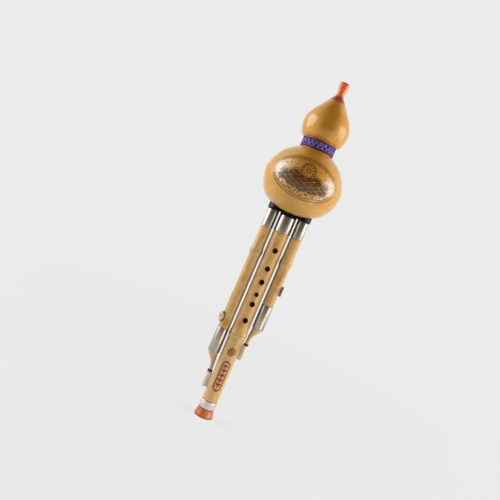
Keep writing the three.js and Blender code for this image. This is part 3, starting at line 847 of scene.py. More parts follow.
def extrude(x, y, z):
    bpy.ops.mesh.extrude_region_move(TRANSFORM_OT_translate={"value": (x, y, z)})


def tidy_mesh():
    """Close the seams and poles, turn the faces outwards and leave edit mode."""
    bpy.ops.mesh.select_all(action="SELECT")
    bpy.ops.mesh.remove_doubles(threshold=seam_tolerance)
    bpy.ops.mesh.normals_make_consistent(inside=False)
    bpy.ops.object.mode_set(mode="OBJECT")


def round_face(radius, sides, place=(0, 0, 0), tilt_degrees=0):
    """A flat round face to draw a piece from."""
    deselect()
    bpy.ops.mesh.primitive_circle_add(
        vertices=sides, radius=radius, fill_type="NGON", location=place,
        rotation=(math.radians(tilt_degrees), 0, 0),
    )
    return bpy.context.object


def turned(name, outline, sides=pipe_sides, centre_x=0.0):
    """A turned piece: one corner drawn along the outline of (radius, height), then spun round."""
    deselect()
    bpy.ops.mesh.primitive_plane_add(size=mm, location=(centre_x + outline[0][0], 0, outline[0][1]))
    piece = settle(bpy.context.object, name)
    edit_all()
    bpy.ops.mesh.merge(type="CENTER")
    for (radius, height), (next_radius, next_height) in zip(outline, outline[1:]):
        extrude(next_radius - radius, 0, next_height - height)
    bpy.ops.mesh.select_all(action="SELECT")
    bpy.ops.mesh.spin(steps=sides, angle=round_turn, center=(centre_x, 0, 0), axis=(0, 0, 1))
    tidy_mesh()
    return piece


def rod_tool(radius, foot, top, sides, centre_x=0.0):
    """A plain round rod along Z, to cut with."""
    return turned("rod_tool", [(0, foot), (radius, foot), (radius, top), (0, top)], sides, centre_x)


def stacked(name, rings, sides):
    """A lofted solid: one disc drawn from ring to ring, each (x, height, radius)."""
    x, height, radius = rings[0]
    piece = settle(round_face(radius, sides, (x, 0, height)), name)
    edit_all()
    for (x, height, radius), (next_x, next_height, next_radius) in zip(rings, rings[1:]):
        extrude(next_x - x, 0, next_height - height)
        share = next_radius / radius
        bpy.ops.transform.resize(value=(share, share, 1), center_override=(next_x, 0, next_height))
    tidy_mesh()
    return piece


def stadium(name, half_length, half_depth, foot, top):
    """A slab with two round ends: a disc whose halves are pulled apart along X, then raised."""
    piece = settle(round_face(half_depth, pipe_sides, (0, 0, foot)), name)
    pull = half_length - half_depth
    for side in (1, -1):
        bpy.ops.object.mode_set(mode="EDIT")
        bpy.ops.mesh.select_all(action="DESELECT")
        bpy.ops.object.mode_set(mode="OBJECT")
        for corner in piece.data.vertices:
            corner.select = side * corner.co.x > seam_tolerance
        bpy.ops.object.mode_set(mode="EDIT")
        bpy.ops.mesh.select_mode(type="VERT")
        bpy.ops.transform.translate(value=(side * pull, 0, 0))
    bpy.ops.mesh.select_all(action="SELECT")
    extrude(0, 0, top - foot)
    tidy_mesh()
    return piece


def apply_modifier(piece, kind, **settings):
    take(piece)
    modifier = piece.modifiers.new(kind.lower(), kind)
    for name, value in settings.items():
        setattr(modifier, name, value)
    bpy.ops.object.modifier_apply(modifier=modifier.name)


def round_edges(piece, width, segments):
    apply_modifier(piece, "BEVEL", width=width, segments=segments, limit_method="ANGLE",
                   angle_limit=math.radians(40), harden_normals=False)


def cut_with(piece, *cutters):
    for cutter in cutters:
        apply_modifier(piece, "BOOLEAN", object=cutter, operation="DIFFERENCE", solver="MANIFOLD",
                       material_mode="TRANSFER")
        bpy.data.objects.remove(cutter)
    return piece


def paint(piece, material):
    piece.data.materials.clear()
    piece.data.materials.append(material)
    return piece


def set_up(piece, node, body="instrument"):
    """Smooth the piece; it stands for its CAD node, which it hides, and moves with its body."""
    take(piece)
    bpy.ops.object.shade_smooth_by_angle(angle=math.radians(35))
    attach(piece, body)
    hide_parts(node)
    return piece


def curve_through(points, steps):
    """Points of a smooth curve through the given ones, with as many steps between each two."""
    ends = [points[0], *points, points[-1]]
    drawn = []
    for before, start, end, after in zip(ends, ends[1:], ends[2:], ends[3:]):
        for i in range(steps):
            t = i / steps
            drawn.append(tuple(
                0.5 * (2 * b + (c - a) * t + (2 * a - 5 * b + 4 * c - d) * t * t
                       + (3 * b - a - 3 * c + d) * t ** 3)
                for a, b, c, d in zip(before, start, end, after)
            ))
    return [*drawn, tuple(points[-1])]


def arc(centre, radius, start, end, steps):
    """Points on a circle in the outline's plane, angles in degrees from straight out."""
    turns = [math.radians(start + (end - start) * i / steps) for i in range(steps + 1)]
    return [(centre[0] + radius * math.cos(t), centre[1] + radius * math.sin(t)) for t in turns]


# Gourd

gourd_wall = 4 * mm
waist_radius = band_radius - 0.8 * mm - fit_gap
waist_land = 0.35 * mm
neck_radius = 10.3 * mm
mouth_hole_radius = 7.2 * mm
upper_lobe_radius = 27 * mm
neck_length = 8 * mm
plate_half_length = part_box("base_plate")[1].x
plate_half_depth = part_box("base_plate")[1].y
seat_height = top_of("base_gasket") + fit_gap
seat_ledge = 2.6 * mm
passage_half_length = 23.6 * mm
passage_half_depth = 8.6 * mm
overrun = 2 * mm  # how far a cutter reaches past what it cuts
# Outline as shares of the lobe's radius and of the height up to the waist
lower_lobe_shares = [
    (0, 0), (0.27, 0.006), (0.45, 0.031), (0.575, 0.069), (0.677, 0.107), (0.785, 0.161), (0.875, 0.243),
    (0.948, 0.337), (1, 0.494), (0.983, 0.579), (0.925, 0.68), (0.85, 0.771), (0.755, 0.849),
    (0.645, 0.911), (0.52, 0.966),
]
# Outline as shares of the lobe's radius and of the height from the waist to the top
upper_lobe_shares = [
    (0.85, 0.042), (0.925, 0.14), (0.978, 0.252), (1, 0.354), (0.96, 0.484), (0.873, 0.597),
    (0.745, 0.719), (0.597, 0.828), (0.473, 0.925),
]


def in_sizes(shares, radius, foot, top):
    """An outline's points from shares of a radius and of the height between a foot and a top."""
    return [(out * radius, foot + up * (top - foot)) for out, up in shares]


def gourd_outline(steps):
    land_foot = band_foot - waist_land
    land_top = band_top + waist_land
    lower = in_sizes(lower_lobe_shares, lower_lobe_radius, gourd_foot, land_foot)
    upper = in_sizes(upper_lobe_shares, upper_lobe_radius, land_top, gourd_top)
    return [
        *curve_through([*lower, (waist_radius, land_foot)], steps),
        *curve_through([(waist_radius, land_top), *upper, (neck_radius, gourd_top)], steps),
    ]


def gourd_hollow_outline(steps):
    """The outline moved in by the wall, between a flat floor and a flat roof."""
    outline = gourd_outline(steps)
    floor = seat_height + seat_ledge
    roof = gourd_top - neck_length
    inside = []
    for before, here, after in zip(outline, outline[1:], outline[2:]):
        run = Vector((after[0] - before[0], after[1] - before[1])).normalized()
        radius = here[0] - gourd_wall * run.y
        height = here[1] + gourd_wall * run.x
        if floor < height < roof:
            inside.append((radius, height))
    return [(0, floor), (inside[0][0], floor), *inside[1:], (inside[-1][0], roof), (0, roof)]


def make_gourd(skin, inside):
    gourd = paint(turned("gourd_body", [*gourd_outline(6), (0, gourd_top)], 160), skin)
    below_all = gourd_foot - 2 * overrun
    mouth_foot = gourd_top - neck_length - overrun
    flare = 0.5 * mm
    tools = [
        turned("gourd_hollow_tool", gourd_hollow_outline(2), 64),
        stadium("seat_tool", plate_half_length + fit_gap, plate_half_depth + fit_gap, below_all, seat_height),
        stadium("passage_tool", passage_half_length, passage_half_depth, below_all,
                seat_height + seat_ledge + overrun),
        turned("mouth_hole_tool", [
            (0, mouth_foot), (mouth_hole_radius, mouth_foot), (mouth_hole_radius, gourd_top - flare),
            (mouth_hole_radius + 2 * flare, gourd_top + flare), (0, gourd_top + flare),
        ], 64),
    ]
    cut_with(gourd, *(paint(tool, inside) for tool in tools))
    set_up(gourd, "gourd_shell")
    apply_modifier(gourd, "WEIGHTED_NORMAL", keep_sharp=True, weight=90)


# Waist ribbon, a flat strip wrapped once round the waist with its end lapped over at the back

ribbon_thickness = 0.36 * mm
ribbon_lap = 7 * mm
ribbon_width = band_top - band_foot
ribbon_radius = waist_radius + 0.12 * mm


def ribbon_place(along, across):
    """Where a point of the flat strip lies: along it in metres from its start, across it from its middle."""
    turn = along / (ribbon_radius + ribbon_thickness)
    lap_rise = ribbon_lap / ribbon_radius * 0.6
    past = max(0.0, turn - round_turn + lap_rise)
    lift = (ribbon_thickness + 0.05 * mm) * min(1.0, past / lap_rise)
    pucker = 0.04 * mm * math.sin(turn * 23) * (across / (ribbon_width / 2)) ** 2
    radius = ribbon_radius + lift + pucker
    angle = math.pi / 2 + turn
    height = (band_foot + band_top) / 2 + across
    return Vector((radius * math.cos(angle), radius * math.sin(angle), height))


def make_ribbon(cloth):
    length = round_turn * (ribbon_radius + ribbon_thickness) + ribbon_lap
    deselect()
    bpy.ops.mesh.primitive_grid_add(x_subdivisions=520, y_subdivisions=28, size=1)
    ribbon = bpy.context.object
    weave = ribbon.data.uv_layers.new(name="weave")
    flat_width = ribbon_width - 0.2 * mm
    for loop in ribbon.data.loops:
        corner = ribbon.data.vertices[loop.vertex_index].co
        weave.data[loop.index].uv = ((corner.x + 0.5) * length / mm, corner.y * flat_width / mm)
    for corner in ribbon.data.vertices:
        corner.co = ribbon_place((corner.co.x + 0.5) * length, corner.co.y * flat_width)
    settle(ribbon, "waist_ribbon")
    bpy.ops.object.mode_set(mode="EDIT")
    tidy_mesh()
    apply_modifier(ribbon, "SOLIDIFY", thickness=ribbon_thickness, offset=1.0)
    set_up(paint(ribbon, cloth), "waist_band")


# Mouthpiece

mouth_bore_radius = 2.4 * mm
mouth_skirt_radius = 9.5 * mm
mouth_lip_radius = 5.7 * mm
mouth_tenon_length = 9 * mm
mouth_sleeve_wall = 1.2 * mm
mouth_tenon_radius = mouth_hole_radius - mouth_sleeve_wall - 2 * fit_gap
# Outline from the skirt to the lip, as shares of the skirt's radius and of the length
mouth_skirt_shares = [(1, 0), (0.985, 0.03), (0.9, 0.075), (0.77, 0.15), (0.62, 0.235), (0.51, 0.305)]
# The rest, as shares of the lip's radius and of the length
mouth_lip_shares = [
    (0.79, 0.375), (0.76, 0.465), (0.8, 0.57), (0.87, 0.67), (0.955, 0.77), (1, 0.85), (0.98, 0.92),
    (0.89, 0.975), (0.76, 1),
]


def make_mouthpiece(resin):
    seat = gourd_top + fit_gap
    lip = top_of("mouthpiece")
    tenon_foot = gourd_top - mouth_tenon_length
    edge = 0.6 * mm
    shape = in_sizes(mouth_skirt_shares, mouth_skirt_radius, seat, lip)
    shape += in_sizes(mouth_lip_shares, mouth_lip_radius, seat, lip)
    mouthpiece = turned("mouthpiece_body", [
        (mouth_bore_radius, tenon_foot), (mouth_tenon_radius - 0.5 * mm, tenon_foot),
        (mouth_tenon_radius, tenon_foot + 0.5 * mm), (mouth_tenon_radius, seat),
        *curve_through(shape, 5),
        *arc((mouth_bore_radius + 1 * mm, lip - edge), edge, 90, 140, 4),
        (mouth_bore_radius + 0.15 * mm, lip - 2 * edge), (mouth_bore_radius, lip - 4 * edge),
        (mouth_bore_radius, tenon_foot),
    ])
    set_up(paint(mouthpiece, resin), "mouthpiece")


# Base plate

plate_edge = 0.9 * mm
main_reed_hole_radius = 6.2 * mm
drone_reed_hole_radius = 4 * mm


def make_base_plate(resin):
    plate = stadium("plate_body", plate_half_length, plate_half_depth, plate_foot, plate_top)
    round_edges(plate, plate_edge, 5)
    holes = ((0, main_reed_hole_radius), (drone_spacing, drone_reed_hole_radius),
             (-drone_spacing, drone_reed_hole_radius))
    for x, radius in holes:
        cut_with(plate, rod_tool(radius, plate_foot - overrun, plate_top + overrun, 48, x))
    set_up(paint(plate, resin), "base_plate")


# Bamboo pipes

node_half_length = 7.5 * mm
main_pipe_radius = 9.4 * mm
main_foot_radius = 9.2 * mm
main_bore_radius = 6.2 * mm
main_node_height = bell_ferrule_top + 80.5 * mm
main_node_rise = 1 * mm
main_node_groove = 0.4 * mm
drone_pipe_radius = 6.5 * mm
drone_bore_radius = 4 * mm
drone_node_height = pipe_top - 29.3 * mm
drone_node_rise = 0.9 * mm
drone_node_groove = 0.1 * mm
tube_edge = 0.35 * mm
ferrule_wall = 0.7 * mm
lower_ferrule_grip = 9 * mm
finger_hole_radius = 2.8 * mm
small_hole_radius = 2.2 * mm
thumb_hole_radius = 2.8 * mm
vent_hole_radius = 2.2 * mm
# Holes as shares of the bamboo that shows, from the bell's ferrule up
finger_hole_shares = [0.485, 0.581, 0.638, 0.711, 0.79, 0.897]
small_finger_hole = 2
vent_hole_shares = [0.13, 0.25, 0.36]
thumb_hole_drop = 9 * mm
# A hole's cutter widens a little from just under the surface, and much more above it
flare_depth = 0.9 * mm
rim_rise = 0.6 * mm
rim_widening = 0.1 * mm
flare_rise = 2 * mm
flare_widening = 1.65 * mm


def tenon_radius_in(ferrule):
    return radius_of(ferrule) - ferrule_wall - fit_gap


def swelling(height, node_height, rise, groove):
    """How far the bamboo stands out near a node: a soft ring with a fine groove round its middle."""
    along = (height - node_height) / node_half_length
    return rise * math.exp(-(along / 0.55) ** 2) - groove * math.exp(-(along / 0.05) ** 2)


def bamboo_outline(foot, top, node_height, rise, groove, foot_radius, top_radius):
    """Outline up the outside of a pipe, with close steps round its node and soft ends."""
    near = [node_height + node_half_length * i / 24 for i in range(-24, 25)]
    far = [foot + 0.4 * mm + (top - foot - 0.8 * mm) * i / 24 for i in range(25)]
    heights = sorted([*near, *(h for h in far if abs(h - node_height) > node_half_length)])
    outline = [(foot_radius - tube_edge, foot)]
    for height in heights:
        share = (height - foot) / (top - foot)
        radius = foot_radius + share * (top_radius - foot_radius)
        outline.append((radius + swelling(height, node_height, rise, groove), height))
    return [*outline, (top_radius - tube_edge, top)]


def bamboo_tube(name, node, shown, lower_tenon, upper_tenon, bore, bore_sides, skin, inner, centre_x=0.0):
    """A tenon, the outline that shows, another tenon, and a bore right through."""
    foot, top = foot_of(node), top_of(node)
    tube = turned(name, [
        (0, foot), (lower_tenon, foot), (lower_tenon, shown[0][1]), *shown,
        (upper_tenon, shown[-1][1]), (upper_tenon, top), (0, top),
    ], pipe_sides, centre_x)
    bore_tool = rod_tool(bore, foot - overrun, top + overrun, bore_sides, centre_x)
    return cut_with(paint(tube, skin), paint(bore_tool, inner))


def hole_tool(radius, height, side, surface, burnt):
    """A round hole's cutter through one wall, flared where it breaks the surface."""
    tool = round_face(radius, 40)
    edit_all()
    steps = ((surface - flare_depth, 0), (rim_rise, rim_widening), (flare_rise, flare_widening))
    before = radius
    for rise, widening in steps:
        extrude(0, 0, rise)
        share = (radius + widening) / before
        bpy.ops.transform.resize(value=(share, share, 1))
        before = radius + widening
    tidy_mesh()
    tool.rotation_euler = (math.radians(90 if side < 0 else -90), 0, math.radians(hole_turn_degrees))
    tool.location = (0, 0, height)
    return paint(settle(tool, "hole_tool"), burnt)


def pipe_holes():
    """The melody pipe's holes as (radius, height, side), -1 for the front and 1 for the back."""
    shown = pipe_top - bell_ferrule_top
    holes = []
    for place, share in enumerate(finger_hole_shares):
        radius = small_hole_radius if place == small_finger_hole else finger_hole_radius
        holes.append((radius, bell_ferrule_top + share * shown, -1))
    for share in vent_hole_shares:
        holes.append((vent_hole_radius, bell_ferrule_top + share * shown, 1))
    return [*holes, (thumb_hole_radius, pipe_top - thumb_hole_drop, 1)]


def make_main_pipe(bamboo, inner, burnt):
    foot = bell_ferrule_top + fit_gap
    shoulder = pipe_top - fit_gap
    outline = bamboo_outline(foot, shoulder, main_node_height, main_node_rise, main_node_groove,
                             main_foot_radius, main_pipe_radius)
    pipe = bamboo_tube("melody_pipe", "main_pipe", outline, tenon_radius_in("bell_ferrule"),
                       tenon_radius_in("main_upper_ferrule"), main_bore_radius, 64, bamboo, inner)
    for radius, height, side in pipe_holes():
        share = (height - foot) / (shoulder - foot)
        surface = main_foot_radius + share * (main_pipe_radius - main_foot_radius)
        cut_with(pipe, hole_tool(radius, height, side, surface, burnt))
    set_up(pipe, "main_pipe")


# Oval eyelets round the drones' tone holes

eyelet_half_length = 5.95 * mm
eyelet_half_width = 4.1 * mm
eyelet_rise = 2.8 * mm
eyelet_edge = 0.7 * mm
eyelet_hole_half_length = 2 * mm
eyelet_hole_half_width = 0.9 * mm
tone_hole_half_length = 3.2 * mm
tone_hole_half_width = 2 * mm
eyelet_turns = {"long_drone": math.radians(25), "short_drone": math.radians(8)}


def oval_plug(name, half_length, half_width, reach, side, turn, height, material):
    """An oval plug that stands out sideways from the drone's axis, turned towards the front."""
    deselect()
    bpy.ops.mesh.primitive_cylinder_add(vertices=56, radius=1, depth=reach, location=(0, 0, reach / 2))
    tool = bpy.context.object
    tool.scale = (half_length, half_width, 1)
    bpy.ops.object.transform_apply(location=True, rotation=False, scale=True)
    tool.rotation_euler = (0, side * math.pi / 2, -side * turn)
    tool.location = (side * drone_spacing, 0, height)
    return paint(settle(tool, name), material)


def make_drone_pipe(name, side, bamboo, inner, burnt):
    node = f"{name}_pipe"
    foot = foot_of(node) + lower_ferrule_grip + fit_gap
    outline = bamboo_outline(foot, pipe_top - fit_gap, drone_node_height, drone_node_rise, drone_node_groove,
                             drone_pipe_radius, drone_pipe_radius)
    tenon = tenon_radius_in(f"{name}_upper_ferrule")
    pipe = bamboo_tube(f"{name}_bamboo", node, outline, tenon, tenon, drone_bore_radius, 48, bamboo, inner,
                       side * drone_spacing)
    cut_with(pipe, oval_plug("tone_hole_tool", tone_hole_half_length, tone_hole_half_width,
                             drone_pipe_radius + overrun, side, eyelet_turns[name],
                             middle_of(f"{name}_eyelet").z, burnt))
    set_up(pipe, node)


def make_eyelet(name, side, horn, burnt):
    node = f"{name}_eyelet"
    turn = eyelet_turns[name]
    height = middle_of(node).z
    proud = drone_pipe_radius + eyelet_rise
    flange = oval_plug(f"{name}_horn_ring", eyelet_half_length, eyelet_half_width, proud, side, turn, height,
                       horn)
    round_edges(flange, eyelet_edge, 4)
    seat = rod_tool(drone_pipe_radius + fit_gap / 2, height - 2 * eyelet_half_length,
                    height + 2 * eyelet_half_length, pipe_sides, side * drone_spacing)
    bore = oval_plug("eyelet_bore_tool", eyelet_hole_half_length, eyelet_hole_half_width, proud + overrun,
                     side, turn, height, burnt)
    cut_with(flange, paint(seat, horn), bore)
    set_up(flange, node)


# Ferrules and bell

def ferrule_outline(radius, foot, top):
    """A thin tube whose two rims are rolled a little."""
    inner = radius - ferrule_wall
    roll = ferrule_wall / 2
    bevel = 0.1 * mm
    return [
        (inner, foot + bevel), (inner + bevel, foot),
        *arc((radius - roll, foot + roll), roll, -90, 0, 4),
        *arc((radius - roll, top - roll), roll, 0, 90, 4),
        (inner + bevel, top), (inner, top - bevel), (inner, foot + bevel),
    ]


def make_ferrule(node, name, metal):
    """A ferrule; one that ends under the base plate meets it, so its tenon doesn't show."""
    top = top_of(node)
    if abs(plate_foot - top) < 2 * fit_gap:
        top = plate_foot - 0.03 * mm
    outline = ferrule_outline(radius_of(node), foot_of(node), top)
    ferrule = turned(name, outline, pipe_sides, middle_of(node).x)
    set_up(paint(ferrule, metal), node)


bell_foot_radius = 11 * mm
bell_mouth_radius = 8.7 * mm
bell_edge = 1 * mm
bell_lip = 0.15 * mm
# How far the flare stands out, as a share of its width, against its height
bell_flare_shares = [(1, 0.1), (0.97, 0.19), (0.77, 0.34), (0.47, 0.53), (0.2, 0.74), (0.04, 0.9)]


def make_bell(resin):
    waist = radius_of("bell_ferrule") - fit_gap
    tenon_radius = tenon_radius_in("bell_ferrule")
    tenon_top = top_of("bell")
    length = bell_ferrule_foot
    flare = [(waist + out * (bell_foot_radius - waist), up * length) for out, up in bell_flare_shares]
    mouth = [
        (main_bore_radius, tenon_top), (main_bore_radius, length * 0.98),
        (main_bore_radius + 0.75 * mm, length * 0.75), (main_bore_radius + 1.5 * mm, length * 0.4),
        (bell_mouth_radius - 2 * bell_lip, length * 0.1),
    ]
    bell = turned("bell_body", [
        (bell_mouth_radius, bell_lip), (bell_mouth_radius + 0.25 * mm, 0),
        *arc((bell_foot_radius - bell_edge, bell_edge), bell_edge, -90, -8, 6),
        *curve_through([*flare, (waist, length - fit_gap)], 6),
        (tenon_radius, length - fit_gap), (tenon_radius, tenon_top),
        *curve_through(mouth, 5), (bell_mouth_radius, bell_lip),
    ])
    set_up(paint(bell, resin), "bell")


# Drone outlets

nozzle_radius = 5.9 * mm
neck_radius_out = 1.8 * mm
neck_wall = 0.7 * mm
neck_offset = 5 * mm
spigot_length = 10 * mm
cap_foot_edge = 1.1 * mm
cap_top_edge = 0.4 * mm
# How wide the nozzle still is, 1 at its body and 0 at its neck, along its length
nozzle_taper_shares = [
    (0, 1), (0.06, 0.97), (0.14, 0.85), (0.26, 0.65), (0.39, 0.41), (0.52, 0.23), (0.7, 0.09), (1, 0),
]


def make_nozzle(name, side, wood):
    """A funnel whose neck stands in towards the melody pipe."""
    node = f"{name}_nozzle"
    shoulder = foot_of(f"{name}_lower_ferrule") - fit_gap
    run = shoulder - top_of(f"{name}_seal_ring")
    foot, top = foot_of(node), top_of(node)
    tenon_radius = tenon_radius_in(f"{name}_lower_ferrule")
    body_x = side * drone_spacing
    neck_x = side * (drone_spacing - neck_offset)

    def taper(wide, narrow):
        return [
            (side * (drone_spacing - neck_offset * (1 - width)), shoulder - along * run,
             narrow + max(width, 0) * (wide - narrow))
            for along, width in curve_through(nozzle_taper_shares, 4)
        ]

    outside = stacked(f"{name}_funnel", [
        (body_x, top, tenon_radius), (body_x, shoulder, tenon_radius),
        (body_x, shoulder - 0.01 * mm, nozzle_radius), *taper(nozzle_radius, neck_radius_out)[1:],
        (neck_x, foot + 0.4 * mm, neck_radius_out), (neck_x, foot, neck_radius_out - 0.3 * mm),
    ], 64)
    bore_radius = neck_radius_out - neck_wall
    inside = stacked("funnel_bore_tool", [
        (body_x, top + overrun, drone_bore_radius), *taper(drone_bore_radius, bore_radius),
        (neck_x, foot - overrun, bore_radius),
    ], 32)
    cut_with(outside, inside)
    set_up(paint(outside, wood), node)


def make_seal_ring(name, side, rubber):
    node = f"{name}_seal_ring"
    foot, top, outer = foot_of(node), top_of(node), radius_of(node)
    inner = neck_radius_out + 0.05 * mm
    roll = (outer - inner) * 0.45
    ring = turned(f"{name}_rubber_ring", [
        (inner, foot), *arc((outer - roll, foot + roll), roll, -90, 0, 5),
        *arc((outer - roll, top - roll), roll, 0, 90, 5), (inner, top), (inner, foot),
    ], 48, side * (drone_spacing - neck_offset))
    set_up(paint(ring, rubber), node)


def make_outlet_cap(name, side, plastic, body):
    """A cap with a round foot, a little narrower at its top, and the spigot's hole in it."""
    node = f"{name}_cap"
    foot, top, outer = foot_of(node), top_of(node), radius_of(node)
    inner = neck_radius_out + fit_gap
    floor = top - spigot_length - fit_gap
    bevel = 0.3 * mm
    cap = turned(f"{name}_outlet_cap", [
        (0, foot), *arc((outer - cap_foot_edge, foot + cap_foot_edge), cap_foot_edge, -90, 0, 8),
        (outer - 0.06 * mm, foot + (top - foot) * 0.5),
        *arc((outer - cap_top_edge - 0.05 * mm, top - cap_top_edge), cap_top_edge, 0, 90, 5),
        (inner + bevel, top), (inner, top - bevel), (inner, floor), (0, floor),
    ], 64, side * (drone_spacing - neck_offset))
    set_up(paint(cap, plastic), node, body)


# Studio

backdrop_level = srgb(235, 235, 235)
felt_level = srgb(108, 99, 91)
floor_share = 0.14
floor_light = 0.8  # how brightly the lamps light the floor, against a level of 1
room_light = 0.18
floor_radius = 6
floor_drop = 0.2 * mm
fade_start = 0.25
fade_end = 0.9


def seen_directly(tree):
    """1 for rays that come from the camera, or from a reflection or through glass."""
    rays = add_node(tree, "ShaderNodeLightPath").outputs
    return most_of(*(Wire(rays[f"Is {kind} Ray"]) for kind in ("Camera", "Glossy", "Transmission")))


def make_world():
    world = bpy.data.worlds.new("studio")
    bpy.context.scene.world = world
    world.use_nodes = True
    tree = world.node_tree
    tree.nodes.clear()
    seen = wire_from(tree, "ShaderNodeBackground", {"Color": backdrop_level, "Strength": 1.0})
    lit = wire_from(tree, "ShaderNodeBackground", {"Color": (1, 1, 1, 1), "Strength": room_light})
    mixed = wire_through("ShaderNodeMixShader", {0: seen_directly(tree), 1: lit, 2: seen})
    add_node(tree, "ShaderNodeOutputWorld", {"Surface": mixed})


def make_floor():
    """A pale floor that takes a soft shadow near the object and fades into the backdrop farther out."""
    floor = settle(round_face(floor_radius, 96, (0, 0, -floor_drop)), "studio_floor")
    material, tree = start_material("studio_floor_paint")
    away = wire_through("ShaderNodeVectorMath", {0: object_place(tree)}, "Value", operation="LENGTH")
    fade = ramp(away, fade_start, fade_end, smooth=True)
    paper = wire_from(tree, "ShaderNodeBsdfDiffuse", {"Color": (floor_share, floor_share, floor_share, 1)})
    glow_level = [level - floor_share * floor_light for level in backdrop_level[:3]]
    glow = wire_from(tree, "ShaderNodeEmission", {"Color": (*glow_level, 1), "Strength": 1.0})
    near = wire_through("ShaderNodeAddShader", {0: paper, 1: glow})
    far = wire_from(tree, "ShaderNodeEmission", {"Color": backdrop_level, "Strength": 1.0})
    shown = wire_through("ShaderNodeMixShader", {0: fade, 1: near, 2: far})
    bounced = wire_from(tree, "ShaderNodeBsdfDiffuse", {"Color": srgb(225, 225, 225)})
    mixed = wire_through("ShaderNodeMixShader", {0: seen_directly(tree), 1: bounced, 2: shown})
    add_node(tree, "ShaderNodeOutputMaterial", {"Surface": mixed})
    paint(floor, material)


def add_softbox(name, place, target, width, height, power):
    bpy.ops.object.light_add(type="AREA", location=place)
    light = bpy.context.object
    light.name = name
    light.data.shape = "RECTANGLE"
    light.data.size = width
    light.data.size_y = height
    light.data.energy = power
    light.rotation_mode = "QUATERNION"
    light.rotation_quaternion = (Vector(target) - Vector(place)).to_track_quat("-Z", "Y")
    light.visible_camera = False
    return light


def hang_dark_cloth(name, radius, place, tilt_degrees):
    """Dark felt on the camera's side of the studio, which only the reflections see."""
    cloth = settle(round_face(radius, 48, place, tilt_degrees), name)
    material, tree = start_material(f"{name}_felt")
    felt = wire_from(tree, "ShaderNodeEmission", {"Color": felt_level})
    add_node(tree, "ShaderNodeOutputMaterial", {"Surface": felt})
    paint(cloth, material)
    cloth.visible_camera = False
    cloth.visible_diffuse = False
    cloth.visible_shadow = False
    cloth.visible_transmission = False


def light_studio():
    """A softbox at each side, a soft fill from the front right, and a small card low at the right.

    The gloss doesn't show the fill, and only the gloss shows the card, as a bright line down the tubes.
    """
    middle = (0, 0, 0.22)
    add_softbox("left_softbox", (-1.34, -0.06, 0.58), middle, 1.15, 1.05, 17)
    add_softbox("right_softbox", (1.33, -0.1, 0.58), middle, 1.15, 1.05, 11)
    fill = add_softbox("front_fill", (1.32, -0.66, 0.45), middle, 1.3, 1.3, 10)
    fill.visible_glossy = False
    card = add_softbox("low_card", (0.213, -0.149, 0.07), (0, 0, 0.07), 0.12, 0.13, 0.1)
    card.visible_diffuse = False
    card.visible_transmission = False
    hang_dark_cloth("dark_cloth_overhead", 2.6, (0, -1, 1.7), 45)
    hang_dark_cloth("dark_cloth_in_front", 1.1, (0, -1.15, 0.2), 90)


# The whole instrument

def dress_inner_parts(brass, cork, rubber, black):
    """The CAD nodes that stay: the pieces inside the gourd and round the mouthpiece's tenon."""
    finishes = {"mouthpiece_sleeve": cork, "base_gasket": rubber}
    for name in ("main", "long_drone", "short_drone"):
        finishes[f"{name}_reed_tube"] = brass
        finishes[f"{name}_reed_plate"] = brass
        finishes[f"{name}_reed_plug"] = black
    for node, material in finishes.items():
        paint(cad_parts[node], material)


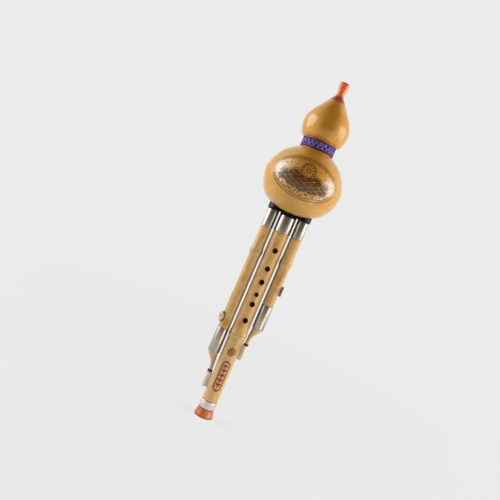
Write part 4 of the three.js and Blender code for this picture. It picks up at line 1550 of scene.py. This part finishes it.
def build_instrument():
    chrome = make_metal("bright_chrome", srgb(172, 157, 144), srgb(184, 170, 158), 0.1 * mm, 0.28, 0.34)
    silver = make_metal("satin_silver", srgb(212, 200, 190), srgb(230, 220, 212), 0.14 * mm, 0.28, 0.4)
    brass = make_metal("drawn_brass", srgb(176, 128, 56), srgb(206, 162, 84), 0.16 * mm, 0.22, 0.36)
    black = make_black_resin()
    rubber = make_rubber()
    ivory = make_ivory_plastic()
    gold = make_gold_lacquer()
    burnt = make_raw_bamboo("burnt_bamboo", srgb(34, 16, 8), srgb(74, 42, 20))
    inner = make_raw_bamboo("inner_bamboo", srgb(206, 138, 84), srgb(236, 178, 118))
    lip_top = top_of("mouthpiece")
    # The skirt's band is darker where the resin is thick; the lip's band is a painted dark reflection along
    # its rounded rim.
    mouth_shades = [(gourd_top + 4 * mm, gourd_top + 9.5 * mm), (lip_top - 0.6 * mm, lip_top - 2.4 * mm)]
    amber = make_amber_resin("amber_mouth_resin", srgb(226, 104, 30), srgb(238, 138, 64), srgb(144, 42, 6),
                             (0, 0, gourd_top), mouth_shades, 0.5)
    bell_shades = [(0.2 * mm, 2.2 * mm), (bell_ferrule_foot, bell_ferrule_foot - 1.6 * mm)]
    bell_amber = make_amber_resin("amber_bell_resin", srgb(200, 92, 42), srgb(222, 124, 72),
                                  srgb(120, 44, 22), (0, 0, 0), bell_shades, 0.5)

    make_gourd(make_lacquered_gourd(), burnt)
    make_ribbon(make_woven_ribbon())
    make_mouthpiece(amber)
    make_base_plate(black)
    front_holes = [(radius, height) for radius, height, side in pipe_holes() if side < 0]
    main_bamboo = make_bamboo("melody_bamboo", main_node_height, (0.3, 0, 0), 0.45 * mm, 0.5,
                              make_pipe_ornament(), front_holes)
    make_main_pipe(main_bamboo, inner, burnt)
    make_ferrule("main_upper_ferrule", "melody_top_ferrule", chrome)
    make_ferrule("bell_ferrule", "bell_silver_ferrule", silver)
    make_bell(bell_amber)
    for name, side, shift in (("long_drone", -1, (0.11, 0.2, 0.4)), ("short_drone", 1, (0.27, 0.5, 0.1))):
        bamboo = make_bamboo(f"{name}_skin", drone_node_height, shift, 1.6 * mm, 0.3)
        make_drone_pipe(name, side, bamboo, inner, burnt)
        dark_at = drone_pipe_radius + (0.5 * mm if side < 0 else eyelet_rise - 0.4 * mm)
        make_eyelet(name, side, make_horn(f"{name}_horn", side * drone_spacing, dark_at), burnt)
        make_ferrule(f"{name}_upper_ferrule", f"{name}_top_tube", chrome)
        make_ferrule(f"{name}_lower_ferrule", f"{name}_foot_tube", chrome)
        make_nozzle(name, side, gold)
        make_seal_ring(name, side, rubber)
        make_outlet_cap(name, side, ivory, name.replace("_drone", "_cap"))
    dress_inner_parts(brass, make_cork(), rubber, black)


set_camera()
build_instrument()
make_world()
make_floor()
light_studio()
bpy.context.scene.view_settings.view_transform = "Standard"
